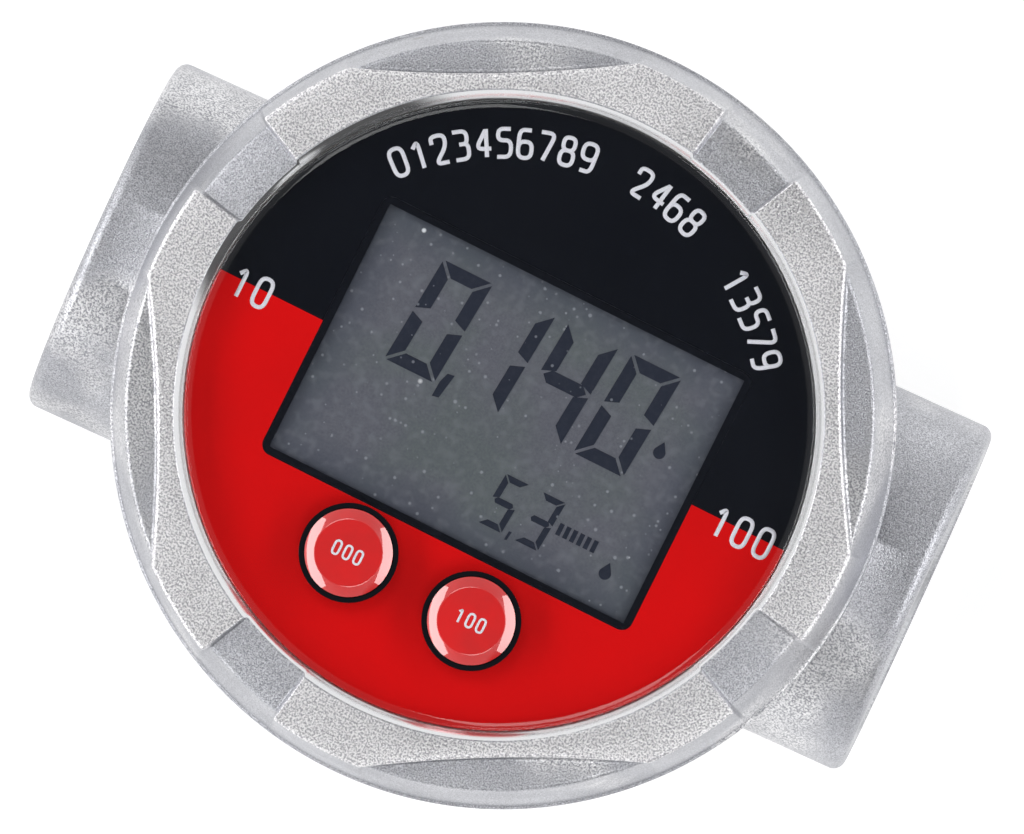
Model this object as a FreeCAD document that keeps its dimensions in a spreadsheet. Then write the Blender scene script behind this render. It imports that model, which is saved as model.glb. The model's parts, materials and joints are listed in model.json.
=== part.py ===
import FreeCAD, Part
import os
import re

import Sketcher
from FreeCAD import Placement, Rotation, Vector

# Turbine flow meter with a battery display, for one-inch pipe. Millimetres.
# The flow runs along X through the pipe body, the display faces +Z, and the body stands on z = 0.
# The display module is turned by face_turn about Z, and the screw cap by cap_clock.

SIZES = {
    # Pipe body
    "body_length": 103.1,
    "port_radius": 21.63,
    "port_edge_round": 1.4,
    "thread_bore_radius": 15.15,
    "thread_bore_depth": 18.0,
    "mouth_chamfer": 1.0,
    "bore_cone_length": 2.15,
    "seat_bore_radius": 13.0,
    "rotor_bore_radius": 12.4,
    "rotor_bore_half": 8.0,
    "foot_length": 46.0,
    "foot_width": 27.0,
    "foot_height": 7.0,
    "foot_corner": 5.0,
    # Round bowl on top of the pipe
    "bowl_inset": 1.68,
    "bowl_edge_round": 5.0,
    "bowl_side_height": 7.2,
    "bowl_lip": 0.8,
    "neck_radius": 33.0,
    "cup_wall": 2.9,
    "cup_height": 12.0,
    "cup_seat_rise": 0.4,
    "cup_floor_sink": 0.8,
    "well_radius": 4.0,
    "well_wall": 1.6,
    # Flow guides, bushes and retaining rings
    "guide_ring_wall": 1.1,
    "guide_ring_length": 12.0,
    "guide_hub_radius": 5.0,
    "guide_hub_gap": 0.7,
    "guide_hub_length": 14.0,
    "guide_nose_round": 4.2,
    "guide_vane_thickness": 1.2,
    "guide_vane_inset": 0.8,
    "ring_thickness": 1.1,
    "ring_depth": 0.9,
    "ring_width": 1.6,
    "ring_lug_radius": 1.7,
    "ring_lug_hole": 0.7,
    "ring_gap_half": 2.2,
    "bush_radius": 2.4,
    "bush_length": 4.0,
    "shaft_radius": 1.0,
    "shaft_end_gap": 0.15,
    # Rotor
    "rotor_tip_gap": 0.3,
    "rotor_hub_radius": 5.0,
    "rotor_hub_half": 5.0,
    "rotor_hub_chamfer": 0.6,
    "blade_thickness": 1.1,
    "blade_half_length": 4.6,
    "blade_half_twist": 20.0,
    "blade_root_sink": 1.0,
    "magnet_radius": 1.25,
    "magnet_length": 2.4,
    # Display module
    "face_turn": -2.1,
    "tray_gap": 0.6,
    "tray_wall": 1.6,
    "tray_floor_height": 6.6,
    "tray_floor_thickness": 1.2,
    "tray_lip_width": 2.8,
    "tray_lip_height": 1.0,
    "tray_foot_radius": 3.4,
    "tray_foot_inset": 6.6,
    "tray_screw_radius": 1.45,
    "tray_screw_head_radius": 2.7,
    "tray_screw_head_height": 1.8,
    "tray_screw_depth": 4.4,
    "tray_foot_flange": 3.0,
    "battery_radius": 5.25,
    "battery_length": 44.5,
    "battery_nub_radius": 1.9,
    "battery_nub_length": 0.9,
    "battery_edge_round": 0.5,
    "battery_inset": 14.2,
    "battery_bottom_gap": 0.35,
    "pocket_depth": 4.7,
    "pocket_gap": 0.3,
    "holder_wall": 1.0,
    "holder_end_wall": 1.1,
    "holder_bottom_rise": 2.0,
    "contact_thickness": 0.4,
    "contact_width": 7.0,
    "contact_height": 7.0,
    "contact_tab_width": 2.0,
    "tab_gap": 0.2,
    "board_gap": 2.0,
    "board_thickness": 1.6,
    "board_post_height": 0.6,
    "board_screw_radius": 0.95,
    "board_screw_head_radius": 1.8,
    "board_screw_head_height": 1.2,
    "board_screw_depth": 5.0,
    "board_screw_inset": 2.5,
    "board_screw_angle": 12.0,
    "board_post_radius": 2.4,
    "hall_width": 4.1,
    "hall_depth": 1.6,
    "hall_height": 3.0,
    "hall_lead": 0.45,
    "hall_pitch": 1.27,
    "hall_floor_gap": 0.25,
    "lead_hole_radius": 2.6,
    "chip_side": 9.0,
    "chip_height": 1.1,
    "chip_place": 6.0,
    "small_chip_length": 3.2,
    "small_chip_width": 1.8,
    # Liquid crystal display
    "window_width": 45.2,
    "window_height": 30.9,
    "window_x": 0.64,
    "window_y": 0.56,
    "frame_border": 0.9,
    "frame_corner": 1.3,
    "frame_depth": 0.8,
    "glass_margin": 0.6,
    "glass_thickness": 2.2,
    "reflector_thickness": 0.4,
    "reflector_margin": 3.0,
    "carrier_wall": 0.65,
    "zebra_width": 1.8,
    "zebra_edge": 0.4,
    # Face
    "lens_seat_rise": 1.5,
    "label_thickness": 0.3,
    "label_inset": 0.2,
    "lens_flange_thickness": 1.3,
    "lens_rise": 0.9,
    "lens_flange_width": 1.65,
    "gasket_thickness": 0.75,
    "gasket_inset": 0.3,
    # Buttons
    "reset_x": -8.35,
    "reset_y": -21.7,
    "cal_x": 7.65,
    "cal_y": -22.4,
    "bezel_radius": 5.7,
    "bezel_wall": 0.55,
    "button_gap": 0.1,
    "button_rise": 0.15,
    "button_dome": 0.7,
    "button_travel": 0.6,
    "plunger_flange": 5.3,
    "plunger_flange_height": 0.7,
    "plunger_pin_radius": 1.6,
    "plunger_neck": 1.8,
    "switch_side": 6.0,
    "switch_gap": 0.1,
    # Screw cap
    "cap_clock": -19.7,
    "cap_rim_radius": 45.08,
    "cap_rim_width": 3.78,
    "cap_rim_height": 1.9,
    "cap_rim_round": 0.5,
    "cap_gap": 0.2,
    "cap_foot_gap": 0.3,
    "cap_rim_step": 0.38,
    "cap_wall_lean": 1.5,
    "cap_lip_gap": 0.15,
    "cap_lip_thickness": 1.5,
    "cap_step_wall": 1.4,
    "cap_lens_gap": 0.3,
    "cap_chamfer_height": 1.1,
    "scallop_depth": 2.6,
    "scallop_land": 1.84,
    "scallop_half_angle": 22.5,
    "scallop_lean": 0.35,
    "notch_depth": 1.5,
    "notch_inner_depth": 0.2,
    "notch_lean": 0.9,
    "notch_half_angle": 7.3,
    "slip_ring_thickness": 0.4,
    "slip_ring_inset": 0.3,
    "slip_gap": 0.05,
    "seal_section_radius": 0.9,
    "seal_rise": 1.5,
    # Clearances
    "seat_gap": 0.02,
    "running_gap": 0.03,
    "fit_gap": 0.1,
    "screw_gap": 0.05,
}

# Sizes that follow from the ones above. Each may use aliases and other entries of this table.
DERIVED = {
    "half_length": "body_length / 2",
    "axis_z": "port_radius",
    "pipe_top_z": "2 * port_radius",
    "cup_floor_z": "pipe_top_z - cup_floor_sink",
    "cap_seat_z": "pipe_top_z + cup_seat_rise",
    "cup_rim_z": "cap_seat_z + cup_height",
    "lens_under_z": "cup_rim_z + lens_seat_rise",
    "flange_top_z": "lens_under_z + lens_flange_thickness",
    "lens_top_z": "flange_top_z + lens_rise",
    "label_under_z": "lens_under_z - label_thickness",
    "lip_under_z": "flange_top_z + slip_ring_thickness + 2 * slip_gap",
    "cap_top_z": "lip_under_z + cap_lip_thickness",
    "cap_step_z": "cap_top_z - scallop_depth - cap_step_wall",
    "cap_foot_z": "cap_seat_z + cap_foot_gap",
    "cap_inner_radius": "cap_rim_radius - cap_rim_width",
    "cap_wall_radius": "cap_rim_radius - cap_rim_step",
    "cap_pad_radius": "cap_wall_radius - cap_wall_lean",
    "scallop_crease_radius": "cap_pad_radius - scallop_lean",
    "notch_crease_radius": "cap_pad_radius - notch_lean",
    "bowl_radius": "cap_rim_radius - bowl_inset",
    "cup_outer_radius": "cap_inner_radius - cap_gap",
    "cup_inner_radius": "cup_outer_radius - cup_wall",
    "tray_radius": "cup_inner_radius - tray_gap",
    "tray_foot_place": "tray_radius - tray_foot_inset",
    "battery_place": "cup_inner_radius - battery_inset",
    "board_radius": "tray_radius - tray_wall - board_gap",
    "board_screw_place": "board_radius - board_screw_inset",
    "board_screw_x": "board_screw_place * cos(board_screw_angle)",
    "board_screw_y": "board_screw_place * sin(board_screw_angle)",
    "lens_flange_radius": "tray_radius",
    "label_radius": "lens_flange_radius - label_inset",
    "lens_radius": "lens_flange_radius - lens_flange_width",
    "counterbore_radius": "lens_flange_radius + cap_lens_gap",
    "cap_lip_radius": "lens_radius + cap_lip_gap",
    "cap_chamfer_radius": "cap_lip_radius + cap_chamfer_height",
    "scallop_reach": "cap_chamfer_radius + scallop_land",
    "tray_floor_z": "cup_floor_z + tray_floor_height",
    "tray_deck_z": "tray_floor_z + tray_floor_thickness",
    "board_under_z": "tray_deck_z + board_post_height",
    "board_top_z": "board_under_z + board_thickness",
    "frame_under_z": "lens_under_z - frame_depth",
    "glass_under_z": "frame_under_z - glass_thickness",
    "pocket_floor_z": "cup_floor_z - pocket_depth",
    "battery_z": "pocket_floor_z + battery_bottom_gap + battery_radius",
    "holder_half_length": "battery_length / 2 + contact_thickness + holder_end_wall",
    "holder_half_width": "battery_radius + fit_gap + holder_wall",
    "holder_radius": "cup_inner_radius - 2 * pocket_gap",
    "well_floor_z": "axis_z + rotor_bore_radius + well_wall",
    "glass_width": "window_width + 2 * glass_margin",
    "glass_height": "window_height + 2 * glass_margin",
    "carrier_width": "glass_width + 2 * (carrier_wall + fit_gap)",
    "carrier_height": "glass_height + 2 * (carrier_wall + fit_gap)",
    "frame_width": "window_width + 2 * frame_border",
    "frame_height": "window_height + 2 * frame_border",
    "bezel_bore": "bezel_radius - bezel_wall",
    "button_radius": "bezel_bore - button_gap",
    "dome_radius": "(button_radius^2 + button_dome^2) / (2 * button_dome)",
    "plunger_top_z": "frame_under_z",
    "bezel_under_z": "plunger_top_z + fit_gap",
    "bezel_top_z": "lens_top_z + fit_gap",
    "plunger_under_z": "plunger_top_z - plunger_flange_height",
    "switch_top_z": "plunger_under_z - button_travel - switch_gap",
    "plunger_pin_z": "switch_top_z - switch_gap",
    "guide_end": "rotor_bore_half + guide_ring_length",
    "groove_start": "guide_end + seat_gap",
    "groove_end": "groove_start + ring_thickness + 2 * seat_gap",
    "hub_face": "rotor_hub_half + guide_hub_gap",
    "shaft_half": "hub_face + bush_length - shaft_end_gap",
    "seal_radius": "cap_inner_radius - fit_gap - seal_section_radius",
}

ARC = "middle of an arc"
TOLERANCE = 1e-6

doc = FreeCAD.newDocument("turbine_flow_meter")
sheet = doc.addObject("Spreadsheet::Sheet", "Sizes")
nodes = {}


def fill_sheet():
    """Write each driving size to the sheet as a named cell."""
    for row, (alias, size) in enumerate(SIZES.items(), start=1):
        sheet.set(f"A{row}", alias)
        sheet.set(f"B{row}", str(size))
        sheet.setAlias(f"B{row}", alias)
    doc.recompute()


def formula(words):
    """Turn words such as "port_radius / 2" into an expression that reads the sheet."""
    def look_up(match):
        name = match.group(0)
        if name in DERIVED:
            return f"({formula(DERIVED[name])})"
        if name in SIZES:
            return f"Sizes.{name}"
        return name
    return re.sub(r"[a-z_]+", look_up, words)


def bind(item, **sizes):
    """Bind properties of item to formulas."""
    for name, words in sizes.items():
        item.setExpression(name, formula(words))
    return item


def place(item, x="0", y="0", z="0", turn=None, axis=Vector(0, 0, 1)):
    """Bind the place of item, and its turn about axis in degrees."""
    if turn is not None:
        item.Placement = Placement(Vector(), Rotation(axis, 10))
        item.setExpression("Placement.Rotation.Angle", formula(turn))
    for direction, words in zip("xyz", (x, y, z)):
        if words != "0":
            item.setExpression(f"Placement.Base.{direction}", formula(words))
    return item


def keep(name, item):
    """Make item the finished piece called name."""
    item.Label = name
    nodes[name] = item
    return item


def origin_part(body, role):
    """Find one of the body's origin planes or axes."""
    return next(part for part in body.Origin.OriginFeatures if part.Role == role)


def new_body(name):
    return doc.addObject("PartDesign::Body", name)


def new_sketch(body, name, plane="XY_Plane", height=None, turn=None):
    """Attach a sketch to a plane of the body, raised by height or turned about the upright axis."""
    sketch = body.newObject("Sketcher::SketchObject", name)
    sketch.AttachmentSupport = [(origin_part(body, plane), "")]
    sketch.MapMode = "FlatFace"
    if turn is not None:
        upright = Vector(0, 1, 0) if plane == "XZ_Plane" else Vector(0, 0, 1)
        sketch.AttachmentOffset = Placement(Vector(), Rotation(upright, 10))
        sketch.setExpression("AttachmentOffset.Rotation.Angle", formula(turn))
    if height is not None:
        sketch.setExpression("AttachmentOffset.Base.z", formula(height))
    return sketch


def draw_outline(sketch, corners):
    """Close an outline through corners (x, y); a corner marked ARC is the middle of an arc."""
    points = []
    for order, (x, y, *_) in enumerate(corners, start=1):
        point = sketch.addGeometry(Part.Point(Vector(order, order / 2, 0)), True)
        for kind, words, axis in (("DistanceX", x, -2), ("DistanceY", y, -1)):
            if words == "0":
                sketch.addConstraint(Sketcher.Constraint("PointOnObject", point, 1, axis))
            else:
                rule = sketch.addConstraint(Sketcher.Constraint(kind, -1, 1, point, 1, float(order)))
                sketch.setExpression(f"Constraints[{rule}]", formula(words))
        points.append(point)
    doc.recompute()
    spots = [sketch.getPoint(point, 1) for point in points]
    marks = [ARC in corner for corner in corners]
    count = len(corners)
    for start in range(count):
        if marks[start]:
            continue
        middle = (start + 1) % count
        end = (start + 2) % count if marks[middle] else middle
        if marks[middle]:
            curve = Part.Arc(spots[start], spots[middle], spots[end])
        else:
            curve = Part.LineSegment(spots[start], spots[end])
        edge = sketch.addGeometry(curve, False)
        first, last = 1, 2
        if (sketch.getPoint(edge, 1) - spots[start]).Length > TOLERANCE:
            first, last = 2, 1
        sketch.addConstraint(Sketcher.Constraint("Coincident", edge, first, points[start], 1))
        sketch.addConstraint(Sketcher.Constraint("Coincident", edge, last, points[end], 1))
        if marks[middle]:
            sketch.addConstraint(Sketcher.Constraint("PointOnObject", points[middle], 1, edge))
    return sketch


def draw_circle(sketch, radius, x="0", y="0"):
    """Draw a circle of the given radius formula."""
    circle = sketch.addGeometry(Part.Circle(Vector(1, 1, 0), Vector(0, 0, 1), 5), False)
    for kind, words, axis in (("DistanceX", x, -2), ("DistanceY", y, -1)):
        if words == "0":
            sketch.addConstraint(Sketcher.Constraint("PointOnObject", circle, 3, axis))
        else:
            rule = sketch.addConstraint(Sketcher.Constraint(kind, -1, 1, circle, 3, 1.0))
            sketch.setExpression(f"Constraints[{rule}]", formula(words))
    rule = sketch.addConstraint(Sketcher.Constraint("Radius", circle, 5.0))
    sketch.setExpression(f"Constraints[{rule}]", formula(radius))
    return sketch


def turn_profile(body, name, corners, kind="PartDesign::Revolution", axis="V_Axis", plane="XZ_Plane"):
    """Revolve a profile of (radius, height) corners about the body's axis."""
    sketch = draw_outline(new_sketch(body, name + "_profile", plane), corners)
    feature = body.newObject(kind, name)
    feature.Profile = sketch
    feature.ReferenceAxis = (sketch, [axis])
    feature.Angle = 360
    return feature


def turned(name, corners):
    """Make a body by one revolution about Z."""
    body = new_body(name)
    turn_profile(body, name + "_turning", corners)
    return body


def ring_corners(inner, outer, low, high):
    """Corners of a plain ring's section."""
    return [(inner, low), (outer, low), (outer, high), (inner, high)]


def extrude(body, sketch, name, length, kind="PartDesign::Pad", both_ways=False, reverse=False):
    """Pad or pocket a sketch by a length formula."""
    feature = body.newObject(kind, name)
    feature.Profile = sketch
    feature.setExpression("Length", formula(length))
    feature.Midplane = both_ways
    feature.Reversed = reverse
    return feature


def pattern(body, features, name, count, axis="Z_Axis"):
    """Repeat features around an axis of the body."""
    repeat = body.newObject("PartDesign::PolarPattern", name)
    repeat.Originals = features
    repeat.Axis = (origin_part(body, axis), [""])
    repeat.Angle = 360
    repeat.Occurrences = count
    body.Tip = repeat
    return repeat


def round_corners(width, height, radius, x="0", y="0"):
    """Corners and arcs of a rounded rectangle centred on x, y."""
    corners = []
    inset = f"(1 - sqrt(2) / 2) * {radius}"
    for sign_x, sign_y in ((1, 1), (-1, 1), (-1, -1), (1, -1)):
        side = f"{x} + {sign_x} * ({width}) / 2"
        end = f"{y} + {sign_y} * ({height}) / 2"
        on_side = (side, f"{end} - {sign_y} * {radius}")
        on_end = (f"{side} - {sign_x} * {radius}", end)
        middle = (f"{side} - {sign_x} * ({inset})", f"{end} - {sign_y} * ({inset})", ARC)
        first, last = (on_side, on_end) if sign_x == sign_y else (on_end, on_side)
        corners += [first, middle, last]
    return corners


def rounded_plate(name, corners, low, thickness):
    """Pad a rounded rectangle from height low."""
    body = new_body(name)
    sketch = draw_outline(new_sketch(body, name + "_outline", height=low), corners)
    extrude(body, sketch, name + "_pad", thickness)
    return body


def block(name, length, width, height, x="0", y="0", low="0"):
    """A box centred on x, y that stands on height low."""
    box = bind(doc.addObject("Part::Box", name), Length=length, Width=width, Height=height)
    return place(box, f"{x} - ({length}) / 2", f"{y} - ({width}) / 2", low)


def rod(name, radius, height, x="0", y="0", low="0"):
    """An upright cylinder on x, y that stands on height low."""
    cylinder = bind(doc.addObject("Part::Cylinder", name), Radius=radius, Height=height)
    return place(cylinder, x, y, low)


def fuse(name, pieces):
    joined = doc.addObject("Part::MultiFuse", name)
    joined.Shapes = pieces
    return joined


def cut(name, base, tools):
    """Take the tools away from base."""
    result = doc.addObject("Part::Cut", name)
    result.Base = base
    result.Tool = tools[0] if len(tools) == 1 else fuse(name + "_tools", tools)
    return result


def overlap(name, first, second):
    common = doc.addObject("Part::Common", name)
    common.Base = first
    common.Tool = second
    return common


def group(name, pieces):
    """Several separate solids that share one node."""
    compound = doc.addObject("Part::Compound", name)
    compound.Links = pieces
    return compound


def copy_to(name, source, x="0", y="0", z="0"):
    """A copy of source at another place."""
    link = doc.addObject("App::Link", name)
    link.LinkedObject = source
    return place(link, x, y, z)


def along_flow(item, side):
    """Lay a piece made about Z along the flow, its +Z towards side, on the pipe's axis."""
    item.Placement = Placement(Vector(), Rotation(Vector(0, side, 0), 90))
    item.setExpression("Placement.Base.z", formula("axis_z"))
    return item


def module_piece(name, item):
    """Keep a piece of the display module, turned with the module."""
    return keep(name, place(item, turn="face_turn"))


# Pipe body ---------------------------------------------------------------------------------------

def pipe_shell():
    """The round pipe with rounded end edges."""
    edge = "port_edge_round"
    slant = f"{edge} * (1 - sqrt(2) / 2)"
    corners = [("0", "-half_length"), (f"port_radius - {edge}", "-half_length"),
               (f"port_radius - {slant}", f"-half_length + {slant}", ARC),
               ("port_radius", f"-half_length + {edge}"), ("port_radius", f"half_length - {edge}"),
               (f"port_radius - {slant}", f"half_length - {slant}", ARC),
               (f"port_radius - {edge}", "half_length"), ("0", "half_length")]
    return along_flow(turned("pipe_shell", corners), 1)


def flow_bore():
    """The passage: threaded ports, cones, guide seats with ring grooves, and the rotor's land."""
    half = [("rotor_bore_radius", "rotor_bore_half"), ("seat_bore_radius", "rotor_bore_half"),
            ("seat_bore_radius", "groove_start"), ("seat_bore_radius + ring_depth", "groove_start"),
            ("seat_bore_radius + ring_depth", "groove_end"), ("seat_bore_radius", "groove_end"),
            ("seat_bore_radius", "half_length - thread_bore_depth - bore_cone_length"),
            ("thread_bore_radius", "half_length - thread_bore_depth"),
            ("thread_bore_radius", "half_length - mouth_chamfer"),
            ("thread_bore_radius + 2 * mouth_chamfer", "half_length + mouth_chamfer"),
            ("0", "half_length + mouth_chamfer")]
    mirrored = [(radius, f"-({along})") for radius, along in reversed(half)]
    return along_flow(turned("flow_bore", half + mirrored), 1)


def bowl():
    """The round housing on the pipe: neck, bowl side and the cup that carries the cap's thread."""
    side_low = "cap_seat_z - bowl_side_height"
    edge = "bowl_edge_round"
    slant = f"{edge} * (1 - sqrt(2) / 2)"
    seal_low = "cap_foot_z + seal_rise - seal_section_radius - fit_gap"
    seal_high = "cap_foot_z + seal_rise + seal_section_radius + fit_gap"
    seal_depth = "seal_radius - seal_section_radius - seat_gap"
    corners = [("0", "axis_z"), ("port_radius", "axis_z"),
               ("neck_radius", f"{side_low} - {edge}"),
               (f"bowl_radius - {edge}", f"{side_low} - {edge}"),
               (f"bowl_radius - {slant}", f"{side_low} - {edge} + {slant}", ARC),
               ("bowl_radius", side_low), ("bowl_radius", "cap_seat_z - bowl_lip"),
               ("bowl_radius - bowl_lip", "cap_seat_z"), ("cup_outer_radius", "cap_seat_z"),
               ("cup_outer_radius", seal_low), (seal_depth, seal_low), (seal_depth, seal_high),
               ("cup_outer_radius", seal_high), ("cup_outer_radius", "cup_rim_z"), ("0", "cup_rim_z")]
    return turned("bowl", corners)


def foot():
    """The flat pad under the pipe."""
    corners = round_corners("foot_length", "foot_width", "foot_corner")
    return rounded_plate("foot", corners, "0", "foot_height")


def battery_pocket(side, name):
    """A pocket in the cup floor beside the pipe, for one battery holder."""
    box = block(name + "_box", "2 * (holder_half_length + pocket_gap)",
                "2 * (holder_half_width + pocket_gap)", "pocket_depth + cup_height",
                y=f"{side} * battery_place", low="pocket_floor_z")
    round_limit = rod(name + "_limit", "cup_inner_radius - pocket_gap", "pocket_depth + cup_height",
                      low="pocket_floor_z")
    return place(overlap(name, box, round_limit), turn="face_turn")


def tray_screw_hole(side, name):
    """A tapped hole in the cup floor under one foot of the tray."""
    hole = rod(name, "tray_screw_radius + screw_gap", "tray_screw_depth + 1", x=f"{side} * tray_foot_place",
               low="cup_floor_z - tray_screw_depth")
    return place(group(name + "_turned", [hole]), turn="face_turn")


def meter_body():
    """The die-cast body: pipe, bowl, cup and foot in one piece."""
    solid = fuse("body_solid", [pipe_shell(), bowl(), foot()])
    hollow = rod("cup_hollow", "cup_inner_radius", "cup_rim_z - cup_floor_z + 1", low="cup_floor_z")
    well = rod("sensor_well", "well_radius", "cup_floor_z - well_floor_z + 1", low="well_floor_z")
    tools = [flow_bore(), hollow, well]
    for side, name in ((1, "rear"), (-1, "front")):
        tools.append(battery_pocket(side, f"{name}_pocket"))
        tools.append(tray_screw_hole(side, f"{name}_screw_hole"))
    keep("meter_body", cut("meter_body", solid, tools))


# Flow guides, rings and bushes -------------------------------------------------------------------

def flow_guide(end, side):
    """A bullet-nosed hub held by straight vanes in a ring; +Z of the body points away from the rotor."""
    body = new_body(f"{end}_flow_guide")
    nose_start = "hub_face + guide_hub_length"
    bush_bore = "bush_radius + seat_gap"
    bush_floor = "hub_face + bush_length + seat_gap"
    round_middle = "guide_nose_round * sqrt(2) / 2"
    hub = [(bush_bore, "hub_face"), ("guide_hub_radius", "hub_face"), ("guide_hub_radius", nose_start),
           (f"guide_hub_radius - guide_nose_round + {round_middle}", f"{nose_start} + {round_middle}", ARC),
           ("guide_hub_radius - guide_nose_round", f"{nose_start} + guide_nose_round"),
           ("0", f"{nose_start} + guide_nose_round"), ("0", bush_floor), (bush_bore, bush_floor)]
    turn_profile(body, f"{end}_hub", hub)
    outer = "seat_bore_radius - seat_gap"
    inner = f"({outer} - guide_ring_wall)"
    vane_low = "rotor_bore_half + guide_vane_inset"
    vane = new_sketch(body, f"{end}_vane_section", height=vane_low)
    half = "guide_vane_thickness / 2"
    root = "guide_hub_radius - guide_vane_thickness"
    tip = f"{inner} + guide_ring_wall / 2"
    draw_outline(vane, [(root, f"-{half}"), (tip, f"-{half}"), (tip, half), (root, half)])
    vane_pad = extrude(body, vane, f"{end}_vane", "guide_ring_length - 2 * guide_vane_inset")
    pattern(body, [vane_pad], f"{end}_vanes", 4)
    turn_profile(body, f"{end}_ring", ring_corners(inner, outer, "rotor_bore_half", "guide_end"))
    keep(f"{end}_flow_guide", along_flow(body, side))


def bearing_bush(end, side):
    """A brass bush pressed into the guide's hub; the shaft runs in it."""
    body = turned(f"{end}_bearing_bush", ring_corners("shaft_radius + running_gap", "bush_radius", "hub_face",
                                                       "hub_face + bush_length"))
    keep(f"{end}_bearing_bush", along_flow(body, side))


def retaining_ring(end, side):
    """An open spring ring with two lug holes that holds the guide in its seat."""
    body = new_body(f"{end}_retaining_ring")
    outer = "seat_bore_radius + ring_depth - 2 * seat_gap"
    inner = f"seat_bore_radius - ring_width"
    low = "groove_start + seat_gap"
    turn_profile(body, f"{end}_snap_band", ring_corners(inner, outer, low, f"{low} + ring_thickness"))
    lug_x = f"{inner} - ring_lug_radius / 3"
    for turn_sign in (1, -1):
        lug_y = f"{turn_sign} * (ring_gap_half + ring_lug_radius)"
        lug = draw_circle(new_sketch(body, f"{end}_lug_{turn_sign + 1}_circle", height=low),
                          "ring_lug_radius", lug_x, lug_y)
        extrude(body, lug, f"{end}_lug_{turn_sign + 1}", "ring_thickness")
        hole = draw_circle(new_sketch(body, f"{end}_lug_hole_{turn_sign + 1}_circle", height=low),
                           "ring_lug_hole", lug_x, lug_y)
        extrude(body, hole, f"{end}_lug_hole_{turn_sign + 1}", "ring_thickness", "PartDesign::Pocket",
                reverse=True)
    gap = new_sketch(body, f"{end}_gap_outline", height=low)
    reach = "seat_bore_radius + 2 * ring_depth"
    draw_outline(gap, [(f"{inner} - 2 * ring_lug_radius", "-ring_gap_half"), (reach, "-ring_gap_half"),
                       (reach, "ring_gap_half"), (f"{inner} - 2 * ring_lug_radius", "ring_gap_half")])
    extrude(body, gap, f"{end}_gap", "ring_thickness", "PartDesign::Pocket", reverse=True)
    keep(f"{end}_retaining_ring", along_flow(body, side))


# Rotor -------------------------------------------------------------------------------------------

def rotor():
    """Hub with six twisted blades, lofted through three sections, and pockets for two magnets."""
    body = new_body("turbine_rotor")
    chamfer = "rotor_hub_chamfer"
    bore = "shaft_radius + seat_gap"
    turn_profile(body, "rotor_hub", [
        (bore, "-rotor_hub_half"), (f"rotor_hub_radius - {chamfer}", "-rotor_hub_half"),
        ("rotor_hub_radius", f"-rotor_hub_half + {chamfer}"),
        ("rotor_hub_radius", f"rotor_hub_half - {chamfer}"),
        (f"rotor_hub_radius - {chamfer}", "rotor_hub_half"), (bore, "rotor_hub_half")])
    half = "blade_thickness / 2"
    tip = "sqrt((rotor_bore_radius - rotor_tip_gap)^2 - (blade_thickness / 2)^2)"
    root = "rotor_hub_radius - blade_root_sink"
    sections = []
    for step in (-1, 0, 1):
        section = new_sketch(body, f"blade_section_{step + 1}", height=f"{step} * blade_half_length",
                             turn=f"{step} * blade_half_twist")
        draw_outline(section, [(root, f"-{half}"), (tip, f"-{half}"), (tip, half), (root, half)])
        sections.append(section)
    blade = body.newObject("PartDesign::AdditiveLoft", "blade")
    blade.Profile = sections[0]
    blade.Sections = sections[1:]
    pattern(body, [blade], "blades", 6)
    pocket = new_sketch(body, "magnet_pocket_circle", "XZ_Plane", "rotor_hub_radius - magnet_length")
    draw_circle(pocket, "magnet_radius + seat_gap")
    hole = extrude(body, pocket, "magnet_pocket", "magnet_length + rotor_hub_chamfer", "PartDesign::Pocket",
                   reverse=True)
    pattern(body, [hole], "magnet_pockets", 2)
    place(body, turn="90", axis=Vector(0, 1, 0), z="axis_z")
    keep("turbine_rotor", body)


def rotor_magnets():
    """Two round magnets in the hub, between blades."""
    pieces = []
    for side in (1, -1):
        magnet = bind(doc.addObject("Part::Cylinder", f"magnet_{side + 1}"), Radius="magnet_radius",
                      Height="magnet_length - 2 * seat_gap")
        magnet.Placement = Placement(Vector(), Rotation(Vector(-side, 0, 0), 90))
        pieces.append(place(magnet, y=f"{side} * (rotor_hub_radius - magnet_length + seat_gap)"))
    keep("rotor_magnets", place(group("rotor_magnets", pieces), z="axis_z"))


def rotor_shaft():
    """The steel shaft with chamfered ends that carries the rotor."""
    tip = "shaft_radius / 3"
    body = turned("rotor_shaft", [("0", "-shaft_half"), (f"shaft_radius - {tip}", "-shaft_half"),
                                  ("shaft_radius", f"-shaft_half + {tip}"),
                                  ("shaft_radius", f"shaft_half - {tip}"),
                                  (f"shaft_radius - {tip}", "shaft_half"), ("0", "shaft_half")])
    keep("rotor_shaft", along_flow(body, 1))


# Display module ----------------------------------------------------------------------------------

BOARD_SCREWS = [(1, 1), (-1, 1), (-1, -1), (1, -1)]
TRAY_FEET = [1, -1]
BATTERIES = {"rear": 1, "front": -1}


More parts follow.
